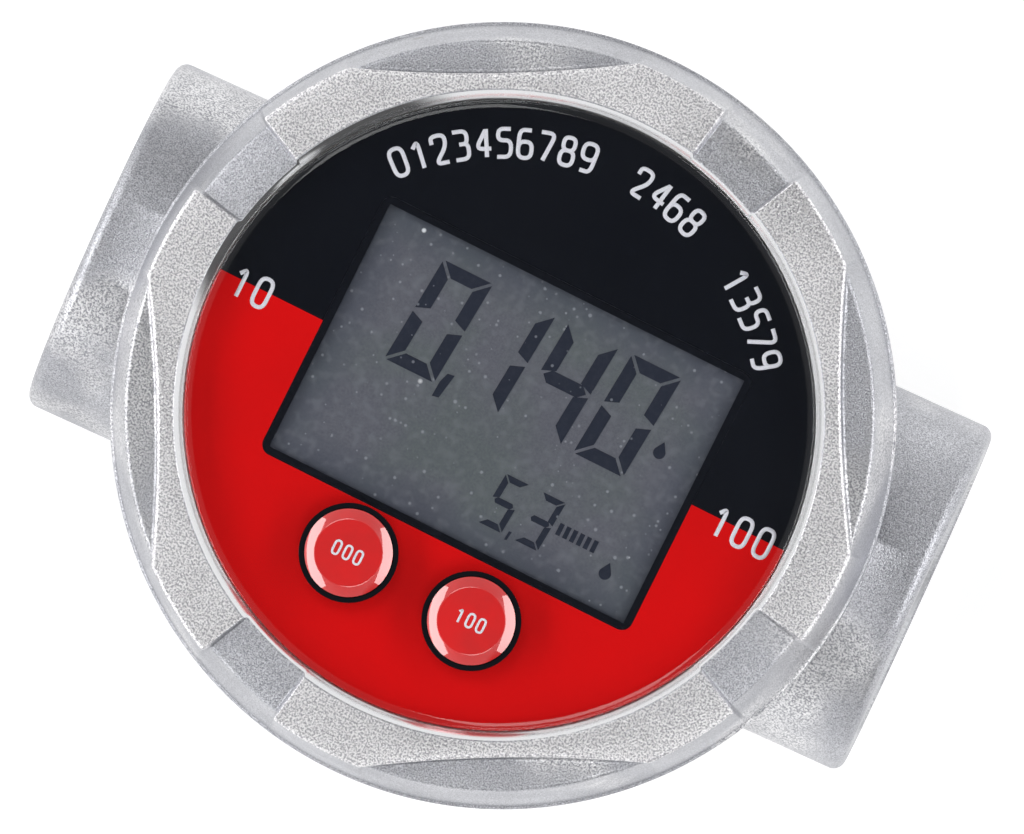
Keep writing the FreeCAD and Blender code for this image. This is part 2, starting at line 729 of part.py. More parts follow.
def display_tray():
    """The plastic tray: floor, ring wall with an inner lip, two feet and four board posts."""
    wall_inner = "tray_radius - tray_wall"
    lip_inner = "tray_radius - tray_lip_width"
    shell = turned("tray_shell", [("0", "tray_floor_z"), ("tray_radius", "tray_floor_z"),
                                  ("tray_radius", "label_under_z"), (lip_inner, "label_under_z"),
                                  (lip_inner, "label_under_z - tray_lip_height"),
                                  (wall_inner, "label_under_z - tray_lip_height"),
                                  (wall_inner, "tray_deck_z"), ("0", "tray_deck_z")])
    adds = [shell]
    cuts = [rod("tray_lead_hole", "lead_hole_radius", "2 * tray_floor_thickness",
                low="tray_floor_z - tray_floor_thickness / 2")]
    for side in TRAY_FEET:
        x = f"{side} * tray_foot_place"
        adds.append(rod(f"tray_foot_{side + 1}", "tray_foot_radius", "tray_floor_height", x=x,
                        low="cup_floor_z"))
        cuts.append(rod(f"foot_hole_{side + 1}", "tray_screw_radius + fit_gap", "tray_floor_height", x=x,
                        low="cup_floor_z - 1"))
        cuts.append(rod(f"foot_access_{side + 1}", "tray_screw_head_radius + fit_gap",
                        "tray_floor_height + tray_floor_thickness", x=x,
                        low="cup_floor_z + tray_foot_flange"))
    for side_x, side_y in BOARD_SCREWS:
        x, y = f"{side_x} * board_screw_x", f"{side_y} * board_screw_y"
        tag = f"{side_x + 1}{side_y + 1}"
        adds.append(rod(f"board_post_{tag}", "board_post_radius",
                        "board_under_z - tray_floor_z + board_screw_depth - tray_floor_thickness", x=x, y=y,
                        low="tray_deck_z - board_screw_depth"))
        cuts.append(rod(f"post_hole_{tag}", "board_screw_radius + screw_gap", "board_screw_depth + 1",
                        x=x, y=y, low="board_under_z - board_screw_depth + board_thickness"))
    for name, side in BATTERIES.items():
        for end in (1, -1):
            cuts.append(block(f"tab_slot_{name}_{end + 1}", "3 * contact_thickness",
                              "contact_tab_width + 2 * tab_gap", "2 * tray_floor_thickness",
                              x=f"{end} * (battery_length + contact_thickness) / 2",
                              y=f"{side} * battery_place", low="tray_floor_z - tray_floor_thickness / 2"))
    module_piece("display_tray", cut("display_tray", fuse("tray_solid", adds), cuts))


def screw_profile(radius, head_radius, head_height, depth):
    """Profile of a pan-head screw whose head sits on z = 0."""
    return [("0", f"-({depth})"), (radius, f"-({depth})"), (radius, "0"), (head_radius, "0"),
            (head_radius, f"{head_height} / 2"), (f"{head_radius} * 0.75", head_height),
            (f"{head_radius} * 0.35", head_height), (f"{head_radius} * 0.35", f"{head_height} * 0.45"),
            ("0", f"{head_height} * 0.45")]


def screws():
    """Two screws hold the tray in the cup, four hold the circuit board on the tray."""
    tray_screw = turned("tray_screw", screw_profile("tray_screw_radius", "tray_screw_head_radius",
                                                    "tray_screw_head_height",
                                                    "tray_foot_flange + tray_screw_depth - screw_gap"))
    pieces = [copy_to(f"tray_screw_{side + 1}", tray_screw, x=f"{side} * tray_foot_place",
                      z="cup_floor_z + tray_foot_flange") for side in TRAY_FEET]
    module_piece("tray_screws", group("tray_screws", pieces))
    board_screw = turned("board_screw", screw_profile("board_screw_radius", "board_screw_head_radius",
                                                      "board_screw_head_height",
                                                      "board_screw_depth - screw_gap"))
    pieces = [copy_to(f"board_screw_{side_x + 1}{side_y + 1}", board_screw, x=f"{side_x} * board_screw_x",
                      y=f"{side_y} * board_screw_y", z="board_top_z") for side_x, side_y in BOARD_SCREWS]
    module_piece("board_screws", group("board_screws", pieces))


def batteries():
    """Each battery has a holder beside the pipe and a contact plate at each end."""
    plates = []
    for name, side in BATTERIES.items():
        y = f"{side} * battery_place"
        shell = overlap(f"holder_{name}_shell",
                        block(f"holder_{name}_block", "2 * holder_half_length", "2 * holder_half_width",
                              "tray_floor_z - pocket_floor_z - holder_bottom_rise", y=y,
                              low="pocket_floor_z + holder_bottom_rise"),
                        rod(f"holder_{name}_limit", "holder_radius", "tray_floor_z", low="0"))
        channel = block(f"holder_{name}_channel", "battery_length + 2 * (contact_thickness + seat_gap)",
                        "2 * (battery_radius + fit_gap)",
                        "battery_z + battery_radius + fit_gap - pocket_floor_z - holder_bottom_rise + 1",
                        y=y, low="pocket_floor_z + holder_bottom_rise - 1")
        tabs = [block(f"holder_{name}_tab_{end + 1}", "3 * contact_thickness",
                      "contact_tab_width + 2 * tab_gap", "battery_radius",
                      x=f"{end} * (battery_length + contact_thickness) / 2", y=y,
                      low="battery_z + battery_radius / 2") for end in (1, -1)]
        module_piece(f"battery_holder_{name}", cut(f"battery_holder_{name}", shell, [channel] + tabs))
        cell(name, side)
        for end in (1, -1):
            x = f"{end} * (battery_length + contact_thickness) / 2"
            plate = block(f"plate_{name}_{end + 1}", "contact_thickness", "contact_width", "contact_height",
                          x=x, y=y, low="battery_z - contact_height / 2")
            tab = block(f"tab_{name}_{end + 1}", "contact_thickness", "contact_tab_width",
                        "board_under_z - battery_z", x=x, y=y, low="battery_z")
            plates.append(fuse(f"contact_{name}_{end + 1}", [plate, tab]))
    module_piece("battery_contacts", group("battery_contacts", plates))


def cell(name, side):
    """One cylindrical battery with its positive nub, lying along X."""
    low = "-battery_length / 2"
    shoulder = "battery_length / 2 - battery_nub_length"
    edge = "battery_edge_round"
    body = turned(f"cell_{name}", [("0", low), (f"battery_radius - {edge}", low),
                                   ("battery_radius", f"{low} + {edge}"),
                                   ("battery_radius", f"{shoulder} - {edge}"),
                                   (f"battery_radius - {edge}", shoulder), ("battery_nub_radius", shoulder),
                                   ("battery_nub_radius", "battery_length / 2"), ("0", "battery_length / 2")])
    body.Placement = Placement(Vector(), Rotation(Vector(0, side, 0), 90))
    place(body, y=f"{side} * battery_place", z="battery_z")
    module_piece(f"battery_{name}", group(f"battery_{name}", [body]))


def circuit_board():
    """The round board with screw holes and holes for the sensor's leads and the battery tabs."""
    disc = rod("board_disc", "board_radius", "board_thickness", low="board_under_z")
    holes = []
    for side_x, side_y in BOARD_SCREWS:
        holes.append(rod(f"board_hole_{side_x + 1}{side_y + 1}", "board_screw_radius + screw_gap",
                         "2 * board_thickness", x=f"{side_x} * board_screw_x", y=f"{side_y} * board_screw_y",
                         low="board_under_z - board_thickness / 2"))
    module_piece("circuit_board", cut("circuit_board", disc, holes))


def board_chips():
    """The controller under the display and the small parts around it."""
    small = ("small_chip_length", "small_chip_width")
    chips = [block("controller", "chip_side", "chip_side", "chip_height", x="-chip_place", low="board_top_z"),
             block("memory_chip", "chip_side / 2", "chip_side / 2", "chip_height", x="chip_place",
                   y="chip_place / 2", low="board_top_z")]
    for order in range(4):
        chips.append(block(f"small_chip_{order}", *small, "chip_height * 0.7", x="chip_place * 2.2",
                           y=f"{order - 1.5} * 2 * small_chip_width", low="board_top_z"))
        chips.append(block(f"side_chip_{order}", *small, "chip_height",
                           x=f"{order - 1.5} * 2 * small_chip_length",
                           y="board_radius - 3 * small_chip_length", low="board_top_z"))
    module_piece("board_chips", group("board_chips", chips))


def hall_sensor():
    """The magnet sensor at the foot of its well, with three leads up to the board."""
    foot_z = "well_floor_z + hall_floor_gap"
    pieces = [block("hall_case", "hall_width", "hall_depth", "hall_height", low=foot_z)]
    for step in (-1, 0, 1):
        pieces.append(block(f"hall_lead_{step + 1}", "hall_lead", "hall_lead",
                            f"board_under_z - ({foot_z}) - hall_height / 2", x=f"{step} * hall_pitch",
                            low=f"{foot_z} + hall_height / 2"))
    module_piece("hall_sensor", fuse("hall_sensor", pieces))


def display_parts():
    """Liquid crystal glass in its carrier, reflector, contact strips and black frame."""
    centre = {"x": "window_x", "y": "window_y"}
    carrier = cut("lcd_carrier",
                  block("carrier_block", "carrier_width", "carrier_height", "frame_under_z - board_top_z",
                        low="board_top_z", **centre),
                  [block("carrier_opening", "glass_width + 2 * fit_gap", "glass_height + 2 * fit_gap",
                         "frame_under_z - board_top_z + 2", low="board_top_z - 1", **centre)])
    module_piece("lcd_carrier", carrier)
    glass = block("glass_pane", "glass_width", "glass_height", "glass_thickness", low="glass_under_z",
                  **centre)
    module_piece("lcd_glass", group("lcd_glass", [glass]))
    reflector = block("reflector_sheet", "glass_width - 2 * fit_gap", "glass_height - 2 * reflector_margin",
                      "reflector_thickness", low="glass_under_z - reflector_thickness", **centre)
    module_piece("lcd_reflector", group("lcd_reflector", [reflector]))
    strips = []
    for side in (1, -1):
        y = f"window_y + {side} * (glass_height / 2 - zebra_edge - zebra_width / 2)"
        strips.append(block(f"zebra_{side + 1}", "glass_width - 2 * zebra_edge", "zebra_width",
                            "glass_under_z - board_top_z", x="window_x", y=y, low="board_top_z"))
    module_piece("zebra_connectors", group("zebra_connectors", strips))
    corners = round_corners("frame_width", "frame_height", "frame_corner", **centre)
    frame = rounded_plate("frame_outer", corners, "frame_under_z", "frame_depth - seat_gap")
    opening = block("frame_opening", "window_width", "window_height", "2 * frame_depth",
                    low="frame_under_z - frame_depth / 2", **centre)
    module_piece("lcd_frame", cut("lcd_frame", frame, [opening]))


# Face, buttons and cap ---------------------------------------------------------------------------

BUTTONS = {"reset": ("reset_x", "reset_y"), "cal": ("cal_x", "cal_y")}
SEAL_STEP = 40


def button_holes(prefix, low, height):
    """Tools for the two button holes."""
    return [rod(f"{prefix}_{name}_hole", "bezel_radius + seat_gap", height, x=x, y=y, low=low)
            for name, (x, y) in BUTTONS.items()]


def face_label():
    """The thin printed disc with an opening for the display frame and two for the buttons."""
    disc = rod("label_disc", "label_radius", "label_thickness - seat_gap", low="label_under_z")
    corners = round_corners("frame_width + 2 * seat_gap", "frame_height + 2 * seat_gap",
                            "frame_corner", "window_x", "window_y")
    window = rounded_plate("label_window", corners, "label_under_z - 1", "label_thickness + 2")
    holes = button_holes("label", "label_under_z - 1", "label_thickness + 2")
    module_piece("face_label", cut("face_label", disc, [window] + holes))


def face_lens():
    """The clear lens: a flange under the cap's lip and a raised face with two button holes."""
    edge = "lens_rise / 3"
    blank = turned("lens_blank", [("0", "lens_under_z"), ("lens_flange_radius", "lens_under_z"),
                                  ("lens_flange_radius", "flange_top_z"), ("lens_radius", "flange_top_z"),
                                  ("lens_radius", f"lens_top_z - {edge}"),
                                  (f"lens_radius - {edge}", "lens_top_z"), ("0", "lens_top_z")])
    holes = button_holes("lens", "lens_under_z - 1", "lens_top_z - lens_under_z + 2")
    module_piece("face_lens", cut("face_lens", blank, holes))


def face_gasket():
    """The flat gasket on the cup's rim, under the step inside the cap."""
    keep("face_gasket", turned("face_gasket", ring_corners(
        "cup_inner_radius + gasket_inset", "cup_outer_radius - gasket_inset", "cup_rim_z",
        "cup_rim_z + gasket_thickness")))


def button_bezels():
    """Two black rings that line the button holes."""
    rings = []
    for name, (x, y) in BUTTONS.items():
        section = ring_corners("bezel_bore", "bezel_radius", "bezel_under_z", "bezel_top_z")
        ring = turned(f"{name}_bezel", section)
        rings.append(copy_to(f"{name}_bezel_ring", ring, x=x, y=y))
    module_piece("button_bezels", group("button_bezels", rings))


def button(name, x, y):
    """A domed button on a plunger whose pin reaches into its switch on the board."""
    pin_hole = "plunger_pin_radius + seat_gap"
    neck_top = "plunger_top_z + plunger_neck"
    shoulder = "bezel_top_z + button_rise"
    crown = f"{shoulder} + button_dome"
    dome_middle = f"{crown} - dome_radius + sqrt(dome_radius^2 - button_radius^2 / 4)"
    cap = turned(f"{name}_cap", [(pin_hole, "plunger_top_z"), ("button_radius", "plunger_top_z"),
                                 ("button_radius", shoulder), ("button_radius / 2", dome_middle, ARC),
                                 ("0", crown), ("0", neck_top), (pin_hole, neck_top)])
    module_piece(f"{name}_button", group(f"{name}_button", [copy_to(f"{name}_cap_place", cap, x=x, y=y)]))
    post = turned(f"{name}_post", [("0", "plunger_pin_z"), ("plunger_pin_radius", "plunger_pin_z"),
                                   ("plunger_pin_radius", "plunger_under_z"),
                                   ("plunger_flange", "plunger_under_z"), ("plunger_flange", "plunger_top_z"),
                                   ("plunger_pin_radius", "plunger_top_z"),
                                   ("plunger_pin_radius", f"{neck_top} - seat_gap"),
                                   ("0", f"{neck_top} - seat_gap")])
    module_piece(f"{name}_plunger", group(f"{name}_plunger", [copy_to(f"{name}_post_place", post, x=x, y=y)]))
    base = block(f"{name}_switch_base", "switch_side", "switch_side", "switch_top_z - board_top_z", x=x, y=y,
                 low="board_top_z")
    bore_floor = "plunger_pin_z - button_travel - switch_gap"
    bore = rod(f"{name}_switch_bore", "plunger_pin_radius + fit_gap", "switch_top_z - board_top_z",
               x=x, y=y, low=bore_floor)
    module_piece(f"{name}_switch", cut(f"{name}_switch", base, [bore]))


def cap_seals():
    """The seal ring in the cup's groove, and the slip ring that rises with the cap."""
    section = [(f"seal_radius + seal_section_radius * cos({angle})",
                f"cap_foot_z + seal_rise + seal_section_radius * sin({angle})")
               for angle in range(0, 360, SEAL_STEP)]
    keep("cap_o_ring", turned("cap_o_ring", section))
    keep("cap_slip_ring", turned("cap_slip_ring", ring_corners(
        "cap_lip_radius + slip_ring_inset", "lens_flange_radius - fit_gap", "flange_top_z + slip_gap",
        "flange_top_z + slip_gap + slip_ring_thickness")))


def sector_groove(body, name, corners, half_angle, turn=None):
    """Turn a profile away from the body over a sector of twice half_angle."""
    sketch = draw_outline(new_sketch(body, name + "_profile", "XZ_Plane", turn=turn), corners)
    groove = body.newObject("PartDesign::Groove", name)
    groove.Profile = sketch
    groove.ReferenceAxis = (sketch, ["V_Axis"])
    groove.Midplane = True
    groove.setExpression("Angle", formula(f"2 * {half_angle}"))
    return groove


def screw_cap():
    """The screw cap: a raised ring with four scallops and four notches, and a bright inner chamfer."""
    body = new_body("screw_cap")
    rim = "cap_rim_round"
    rim_top = "cap_foot_z + cap_rim_height"
    blank = [("cap_lip_radius", "lip_under_z"), ("counterbore_radius", "lip_under_z"),
             ("counterbore_radius", "cap_step_z"), ("cap_inner_radius", "cap_step_z"),
             ("cap_inner_radius", "cap_foot_z"), (f"cap_rim_radius - {rim}", "cap_foot_z"),
             ("cap_rim_radius", f"cap_foot_z + {rim}"), ("cap_rim_radius", f"{rim_top} - {rim}"),
             ("cap_wall_radius", rim_top), ("cap_pad_radius", "cap_top_z"),
             ("cap_chamfer_radius", "cap_top_z"), ("cap_lip_radius", "cap_top_z - cap_chamfer_height")]
    turn_profile(body, "cap_blank", blank)
    over = "cap_top_z + 1"
    outside = "cap_rim_radius + 1"
    notch = sector_groove(body, "notch", [
        ("cap_lip_radius", "cap_top_z - notch_inner_depth"),
        ("notch_crease_radius", "cap_top_z - notch_depth"), ("cap_wall_radius", rim_top),
        (outside, rim_top), (outside, over), ("cap_lip_radius", over)], "notch_half_angle")
    pattern(body, [notch], "notches", 4)
    floor = "cap_top_z - scallop_depth"
    flank = sector_groove(body, "scallop_flank", [
        ("scallop_crease_radius", floor), ("cap_wall_radius", rim_top), (outside, rim_top), (outside, over),
        ("scallop_crease_radius", over)], "scallop_half_angle", turn="45")
    pattern(body, [flank], "scallop_flanks", 4)
    corner_x = "cap_pad_radius * cos(scallop_half_angle)"
    corner_y = "cap_pad_radius * sin(scallop_half_angle)"
    scallop_sketch = new_sketch(body, "scallop_outline", height="cap_top_z", turn="45")
    draw_outline(scallop_sketch, [(corner_x, f"-{corner_y}"), ("scallop_reach", "0", ARC),
                                  (corner_x, corner_y), (outside, "0", ARC)])
    scallop = extrude(body, scallop_sketch, "scallop", "scallop_depth", "PartDesign::Pocket")
    pattern(body, [scallop], "scallops", 4)
    keep("screw_cap", place(body, turn="cap_clock"))


# Build -------------------------------------------------------------------------------------------

def build():
    """Make every piece in the order in which the meter is put together."""
    fill_sheet()
    meter_body()
    for end, side in (("inlet", -1), ("outlet", 1)):
        flow_guide(end, side)
        bearing_bush(end, side)
        retaining_ring(end, side)
    rotor()
    rotor_magnets()
    rotor_shaft()
    display_tray()
    screws()
    batteries()
    circuit_board()
    board_chips()
    hall_sensor()
    display_parts()
    face_label()
    face_lens()
    face_gasket()
    button_bezels()
    for name, (x, y) in BUTTONS.items():
        button(name, x, y)
    cap_seals()
    screw_cap()
    doc.recompute()


def check():
    """Stop if any object failed or a piece isn't a valid solid."""
    for item in doc.Objects:
        if {"Invalid", "Error"} & set(item.State):
            raise RuntimeError(f"{item.Name} failed: {item.State}")
    for name, item in nodes.items():
        shape = item.Shape
        if shape.isNull() or not shape.isValid() or not shape.Solids:
            raise RuntimeError(f"{name} has no valid solid")


def write():
    """Write each piece to its own STEP file."""
    os.makedirs("parts", exist_ok=True)
    for name, item in nodes.items():
        item.Shape.exportStep(f"parts/{name}.step")
        box = item.Shape.BoundBox
        print(f"{name}: {len(item.Shape.Solids)} solid(s), {item.Shape.Volume:.1f} mm3, "
              f"x {box.XMin:.2f}..{box.XMax:.2f}, y {box.YMin:.2f}..{box.YMax:.2f}, "
              f"z {box.ZMin:.2f}..{box.ZMax:.2f}")


build()
check()
write()
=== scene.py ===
import json
import logging
import math
from dataclasses import dataclass, field
from enum import Enum
from functools import cached_property
from typing import Any, Sequence

import bmesh
import bpy
from mathutils import Matrix, Vector


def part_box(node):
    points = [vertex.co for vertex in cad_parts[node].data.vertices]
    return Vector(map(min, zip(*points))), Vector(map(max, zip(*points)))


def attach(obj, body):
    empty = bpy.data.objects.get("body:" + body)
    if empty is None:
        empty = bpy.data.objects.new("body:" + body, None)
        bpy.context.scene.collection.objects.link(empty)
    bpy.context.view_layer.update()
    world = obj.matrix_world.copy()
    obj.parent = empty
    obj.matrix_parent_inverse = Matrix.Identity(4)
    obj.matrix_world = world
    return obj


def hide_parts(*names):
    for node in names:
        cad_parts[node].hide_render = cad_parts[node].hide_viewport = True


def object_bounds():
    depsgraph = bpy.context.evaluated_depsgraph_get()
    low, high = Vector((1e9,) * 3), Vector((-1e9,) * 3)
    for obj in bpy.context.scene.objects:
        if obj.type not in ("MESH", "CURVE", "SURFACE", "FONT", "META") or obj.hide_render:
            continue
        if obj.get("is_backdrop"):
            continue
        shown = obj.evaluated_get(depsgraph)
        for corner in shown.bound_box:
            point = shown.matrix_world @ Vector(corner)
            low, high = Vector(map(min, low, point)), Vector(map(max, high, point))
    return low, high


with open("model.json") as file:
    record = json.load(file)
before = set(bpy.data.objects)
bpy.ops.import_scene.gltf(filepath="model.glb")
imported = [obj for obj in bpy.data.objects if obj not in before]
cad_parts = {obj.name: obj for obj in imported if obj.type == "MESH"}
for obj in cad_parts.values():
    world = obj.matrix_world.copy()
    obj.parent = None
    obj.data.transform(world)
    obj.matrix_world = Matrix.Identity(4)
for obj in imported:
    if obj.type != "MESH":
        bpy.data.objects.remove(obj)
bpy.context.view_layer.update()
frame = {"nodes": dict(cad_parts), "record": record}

# Looks of a turbine flow meter with a battery display, dressed around its packed mechanism.
# Sizes are millimetres unless their name ends in _m, and angles are degrees. The flow runs along X
# and the display faces +Z. The display module and the screw cap are turned a little about Z. The
# scale of a pattern is in features per metre, and a share or a mask goes from 0 to 1.

LOG = logging.getLogger("flow_meter")
MM = 0.001
MERGE_M = 1e-7
QUARTERS = 4
HALF_QUARTER = 45.0
MODULE_TURN = -2.1
PICTURE_TURN = 24.45

Colour = tuple[float, float, float]
Point = tuple[float, float]
Range = tuple[float, float]
Line = Sequence[Sequence[float]]
Socket = bpy.types.NodeSocket


class Body(str, Enum):
    """The moving bodies of the mechanism that carry pieces of this script."""

    METER = "meter"
    CAP = "cap"
    RESET = "reset_key"
    CAL = "cal_key"


class Coord(str, Enum):
    """The texture coordinates in use: a piece's own place, and the direction of the room."""

    OBJECT = "Object"
    SKY = "Generated"


class TreeKind(str, Enum):
    """The kinds of node group."""

    SHADER = "ShaderNodeTree"
    GEOMETRY = "GeometryNodeTree"


class Plug(str, Enum):
    """The kinds of socket that a node group has."""

    VALUE = "NodeSocketFloat"
    COUNT = "NodeSocketInt"
    VECTOR = "NodeSocketVector"
    GEOMETRY = "NodeSocketGeometry"
    MATERIAL = "NodeSocketMaterial"


class Edge(Enum):
    """The edges in the screw cap's section."""

    LIP = "lip"
    CHAMFER = "chamfer"
    PAD = "pad"
    FOOT = "foot"
    CREASE = "crease"
    WALL = "wall"
    RIM = "rim"
    PLAIN = "plain"


# Node trees ---------------------------------------------------------------------------------------

class Tree:
    """A node tree with short calls that add and join nodes."""

    def __init__(self, tree: bpy.types.NodeTree) -> None:
        """Wrap a tree.

        Args:
            tree: the shader or geometry node tree to build in.
        """
        self.tree = tree

    def join(self, source: Socket, target: Socket) -> None:
        """Link an output to an input."""
        self.tree.links.new(source, target)

    def add(self, kind: str, inputs: dict[Any, Any] | None = None,
            **settings: Any) -> bpy.types.Node:
        """Add a node.

        Args:
            kind: the node's type name.
            inputs: values or source sockets, by the name or index of the input.
            **settings: properties of the node itself.

        Returns:
            The new node.
        """
        node = self.tree.nodes.new(kind)
        for name, value in settings.items():
            setattr(node, name, value)
        for name, value in (inputs or {}).items():
            if isinstance(value, Socket):
                self.join(value, node.inputs[name])
            else:
                node.inputs[name].default_value = value
        return node

    def math(self, operation: str, *values: Any) -> Socket:
        """Add a math node.

        Args:
            operation: the operation's name.
            *values: numbers or source sockets, in order.

        Returns:
            The result's socket.
        """
        return self.add("ShaderNodeMath", dict(enumerate(values)), operation=operation).outputs[0]

    def times(self, first: Any, second: Any) -> Socket:
        """Multiply two values, or scale a mask. Returns the result's socket."""
        return self.math("MULTIPLY", first, second)

    def rest_of(self, mask: Socket) -> Socket:
        """Take a mask from one. Returns the result's socket."""
        return self.math("SUBTRACT", 1.0, mask)

    def largest(self, first: Any, second: Any) -> Socket:
        """Take the larger of two values. Returns the result's socket."""
        return self.math("MAXIMUM", first, second)

    def blend(self, factor: Any, first: Any, second: Any) -> Socket:
        """Mix two colours.

        Args:
            factor: the share of the second colour.
            first: a colour or a source socket.
            second: a colour or a source socket.

        Returns:
            The mixed colour's socket.
        """
        sides = {0: factor, 6: rgba(first), 7: rgba(second)}
        return self.add("ShaderNodeMix", sides, data_type="RGBA").outputs[2]

    def ramp(self, value: Any, low: Any, high: Any, start: Any = 0.0, end: Any = 1.0) -> Socket:
        """Stretch a value from one range to another, clamped.

        Args:
            value: the source socket.
            low: the value that becomes start.
            high: the value that becomes end.
            start: the result at low.
            end: the result at high.

        Returns:
            The stretched value's socket.
        """
        sides = {"Value": value, 1: low, 2: high, 3: start, 4: end}
        return self.add("ShaderNodeMapRange", sides).outputs[0]


def rgba(colour: Any) -> Any:
    """Give a plain colour its alpha, and leave a socket alone."""
    return colour if isinstance(colour, Socket) else (*colour, 1.0)


def new_group(name: str, kind: TreeKind, inputs: dict[str, Any],
              outputs: dict[str, Plug]) -> tuple[Tree, Any, bpy.types.Node]:
    """Start a node group with named sockets.

    Args:
        name: the group's name.
        kind: a shader or a geometry group.
        inputs: a default number or a kind of socket, by name.
        outputs: kinds of socket by name.

    Returns:
        The tree, the sockets of its inputs by name, and its output node.
    """
    group = bpy.data.node_groups.new(name, kind.value)
    for label, value in inputs.items():
        plug = value
        if not isinstance(value, Plug):
            plug = Plug.COUNT if isinstance(value, int) else Plug.VALUE
        socket = group.interface.new_socket(label, in_out="INPUT", socket_type=plug.value)
        if plug is not value:
            socket.default_value = value
    for label, plug in outputs.items():
        group.interface.new_socket(label, in_out="OUTPUT", socket_type=plug.value)
    tree = Tree(group)
    return tree, tree.add("NodeGroupInput").outputs, tree.add("NodeGroupOutput")


@dataclass(frozen=True)
class Noise:
    """A noise: how fine it is, and the levels between which its mask goes from 0 to 1."""

    scale: float
    low: float = 0.35
    high: float = 0.65

    def inputs(self) -> dict[str, float]:
        """List the group's inputs."""
        return {"Scale": self.scale, "Low": self.low, "High": self.high}


@dataclass(frozen=True)
class Dots:
    """Scattered dots: how close they lie, their largest reach, and the share of places with one."""

    scale: float
    radius: float
    share: float

    def inputs(self) -> dict[str, float]:
        """List the group's inputs."""
        return {"Scale": self.scale, "Radius": self.radius, "Share": self.share}


class Effects:
    """Shader effects that several finishes share, each built once as a node group."""

    toned: dict[str, Plug] = {"Tone": Plug.VALUE, "Height": Plug.VALUE}
    masked: dict[str, Plug] = {"Mask": Plug.VALUE}
    fine_detail: float = 2.0
    fine_roughness: float = 0.6
    soft_detail: float = 3.0
    core_share: float = 0.5
    ring_levels: Range = (0.3, 0.7)

    def __init__(self) -> None:
        """Build the groups."""
        self.grain = self._grain()
        self.cloud = self._cloud()
        self.specks = self._specks()
        self.turned = self._turned()

    def _grain(self) -> bpy.types.NodeTree:
        """Build blasted or cast grain: a crisp tone and a height.

        Returns:
            The group.
        """
        inputs = {"Vector": Plug.VECTOR, **Noise(3000.0, 0.4, 0.6).inputs()}
        tree, given, sink = new_group("grain", TreeKind.SHADER, inputs, self.toned)
        settings = {"Detail": self.fine_detail, "Roughness": self.fine_roughness}
        noise = tree.add("ShaderNodeTexNoise", {
            "Vector": given["Vector"], "Scale": given["Scale"], **settings}).outputs[0]
        tree.join(tree.ramp(noise, given["Low"], given["High"]), sink.inputs["Tone"])
        tree.join(noise, sink.inputs["Height"])
        return tree.tree

    def _cloud(self) -> bpy.types.NodeTree:
        """Build slow, soft changes of tone.

        Returns:
            The group.
        """
        inputs = {"Vector": Plug.VECTOR, **Noise(60.0).inputs()}
        tree, given, sink = new_group("cloud", TreeKind.SHADER, inputs, self.masked)
        settings = {"Detail": self.soft_detail}
        noise = tree.add("ShaderNodeTexNoise", {
            "Vector": given["Vector"], "Scale": given["Scale"], **settings}).outputs[0]
        tree.join(tree.ramp(noise, given["Low"], given["High"]), sink.inputs["Mask"])
        return tree.tree

    def _specks(self) -> bpy.types.NodeTree:
        """Build scattered dots of dust or wear.

        Returns:
            The group.
        """
        inputs = {"Vector": Plug.VECTOR, **Dots(900.0, 0.25, 0.2).inputs()}
        tree, given, sink = new_group("specks", TreeKind.SHADER, inputs, self.masked)
        cells = tree.add("ShaderNodeTexVoronoi", {
            "Vector": given["Vector"], "Scale": given["Scale"]})
        chance = tree.add("ShaderNodeSeparateColor", {0: cells.outputs["Color"]}).outputs
        chosen = tree.math("LESS_THAN", chance[0], given["Share"])
        reach = tree.times(given["Radius"], chance[1])
        dot = tree.ramp(cells.outputs["Distance"], reach, tree.times(reach, self.core_share))
        tree.join(tree.times(dot, chosen), sink.inputs["Mask"])
        return tree.tree

    def _turned(self) -> bpy.types.NodeTree:
        """Build the fine rings that a lathe leaves about Z.

        Returns:
            The group.
        """
        inputs = {"Vector": Plug.VECTOR, "Scale": 9000.0}
        tree, given, sink = new_group("turned", TreeKind.SHADER, inputs, self.toned)
        place = tree.add("ShaderNodeSeparateXYZ", {0: given["Vector"]}).outputs
        squares = [tree.times(place[axis], place[axis]) for axis in (0, 1)]
        reach = tree.math("ADD", tree.math("SQRT", tree.math("ADD", *squares)), place[2])
        rings = tree.add("ShaderNodeTexNoise", {
            "W": reach, "Scale": given["Scale"], "Detail": self.fine_detail},
            noise_dimensions="1D").outputs[0]
        tree.join(tree.ramp(rings, *self.ring_levels), sink.inputs["Tone"])
        tree.join(rings, sink.inputs["Height"])
        return tree.tree


EFFECTS = Effects()


# Finishes -----------------------------------------------------------------------------------------

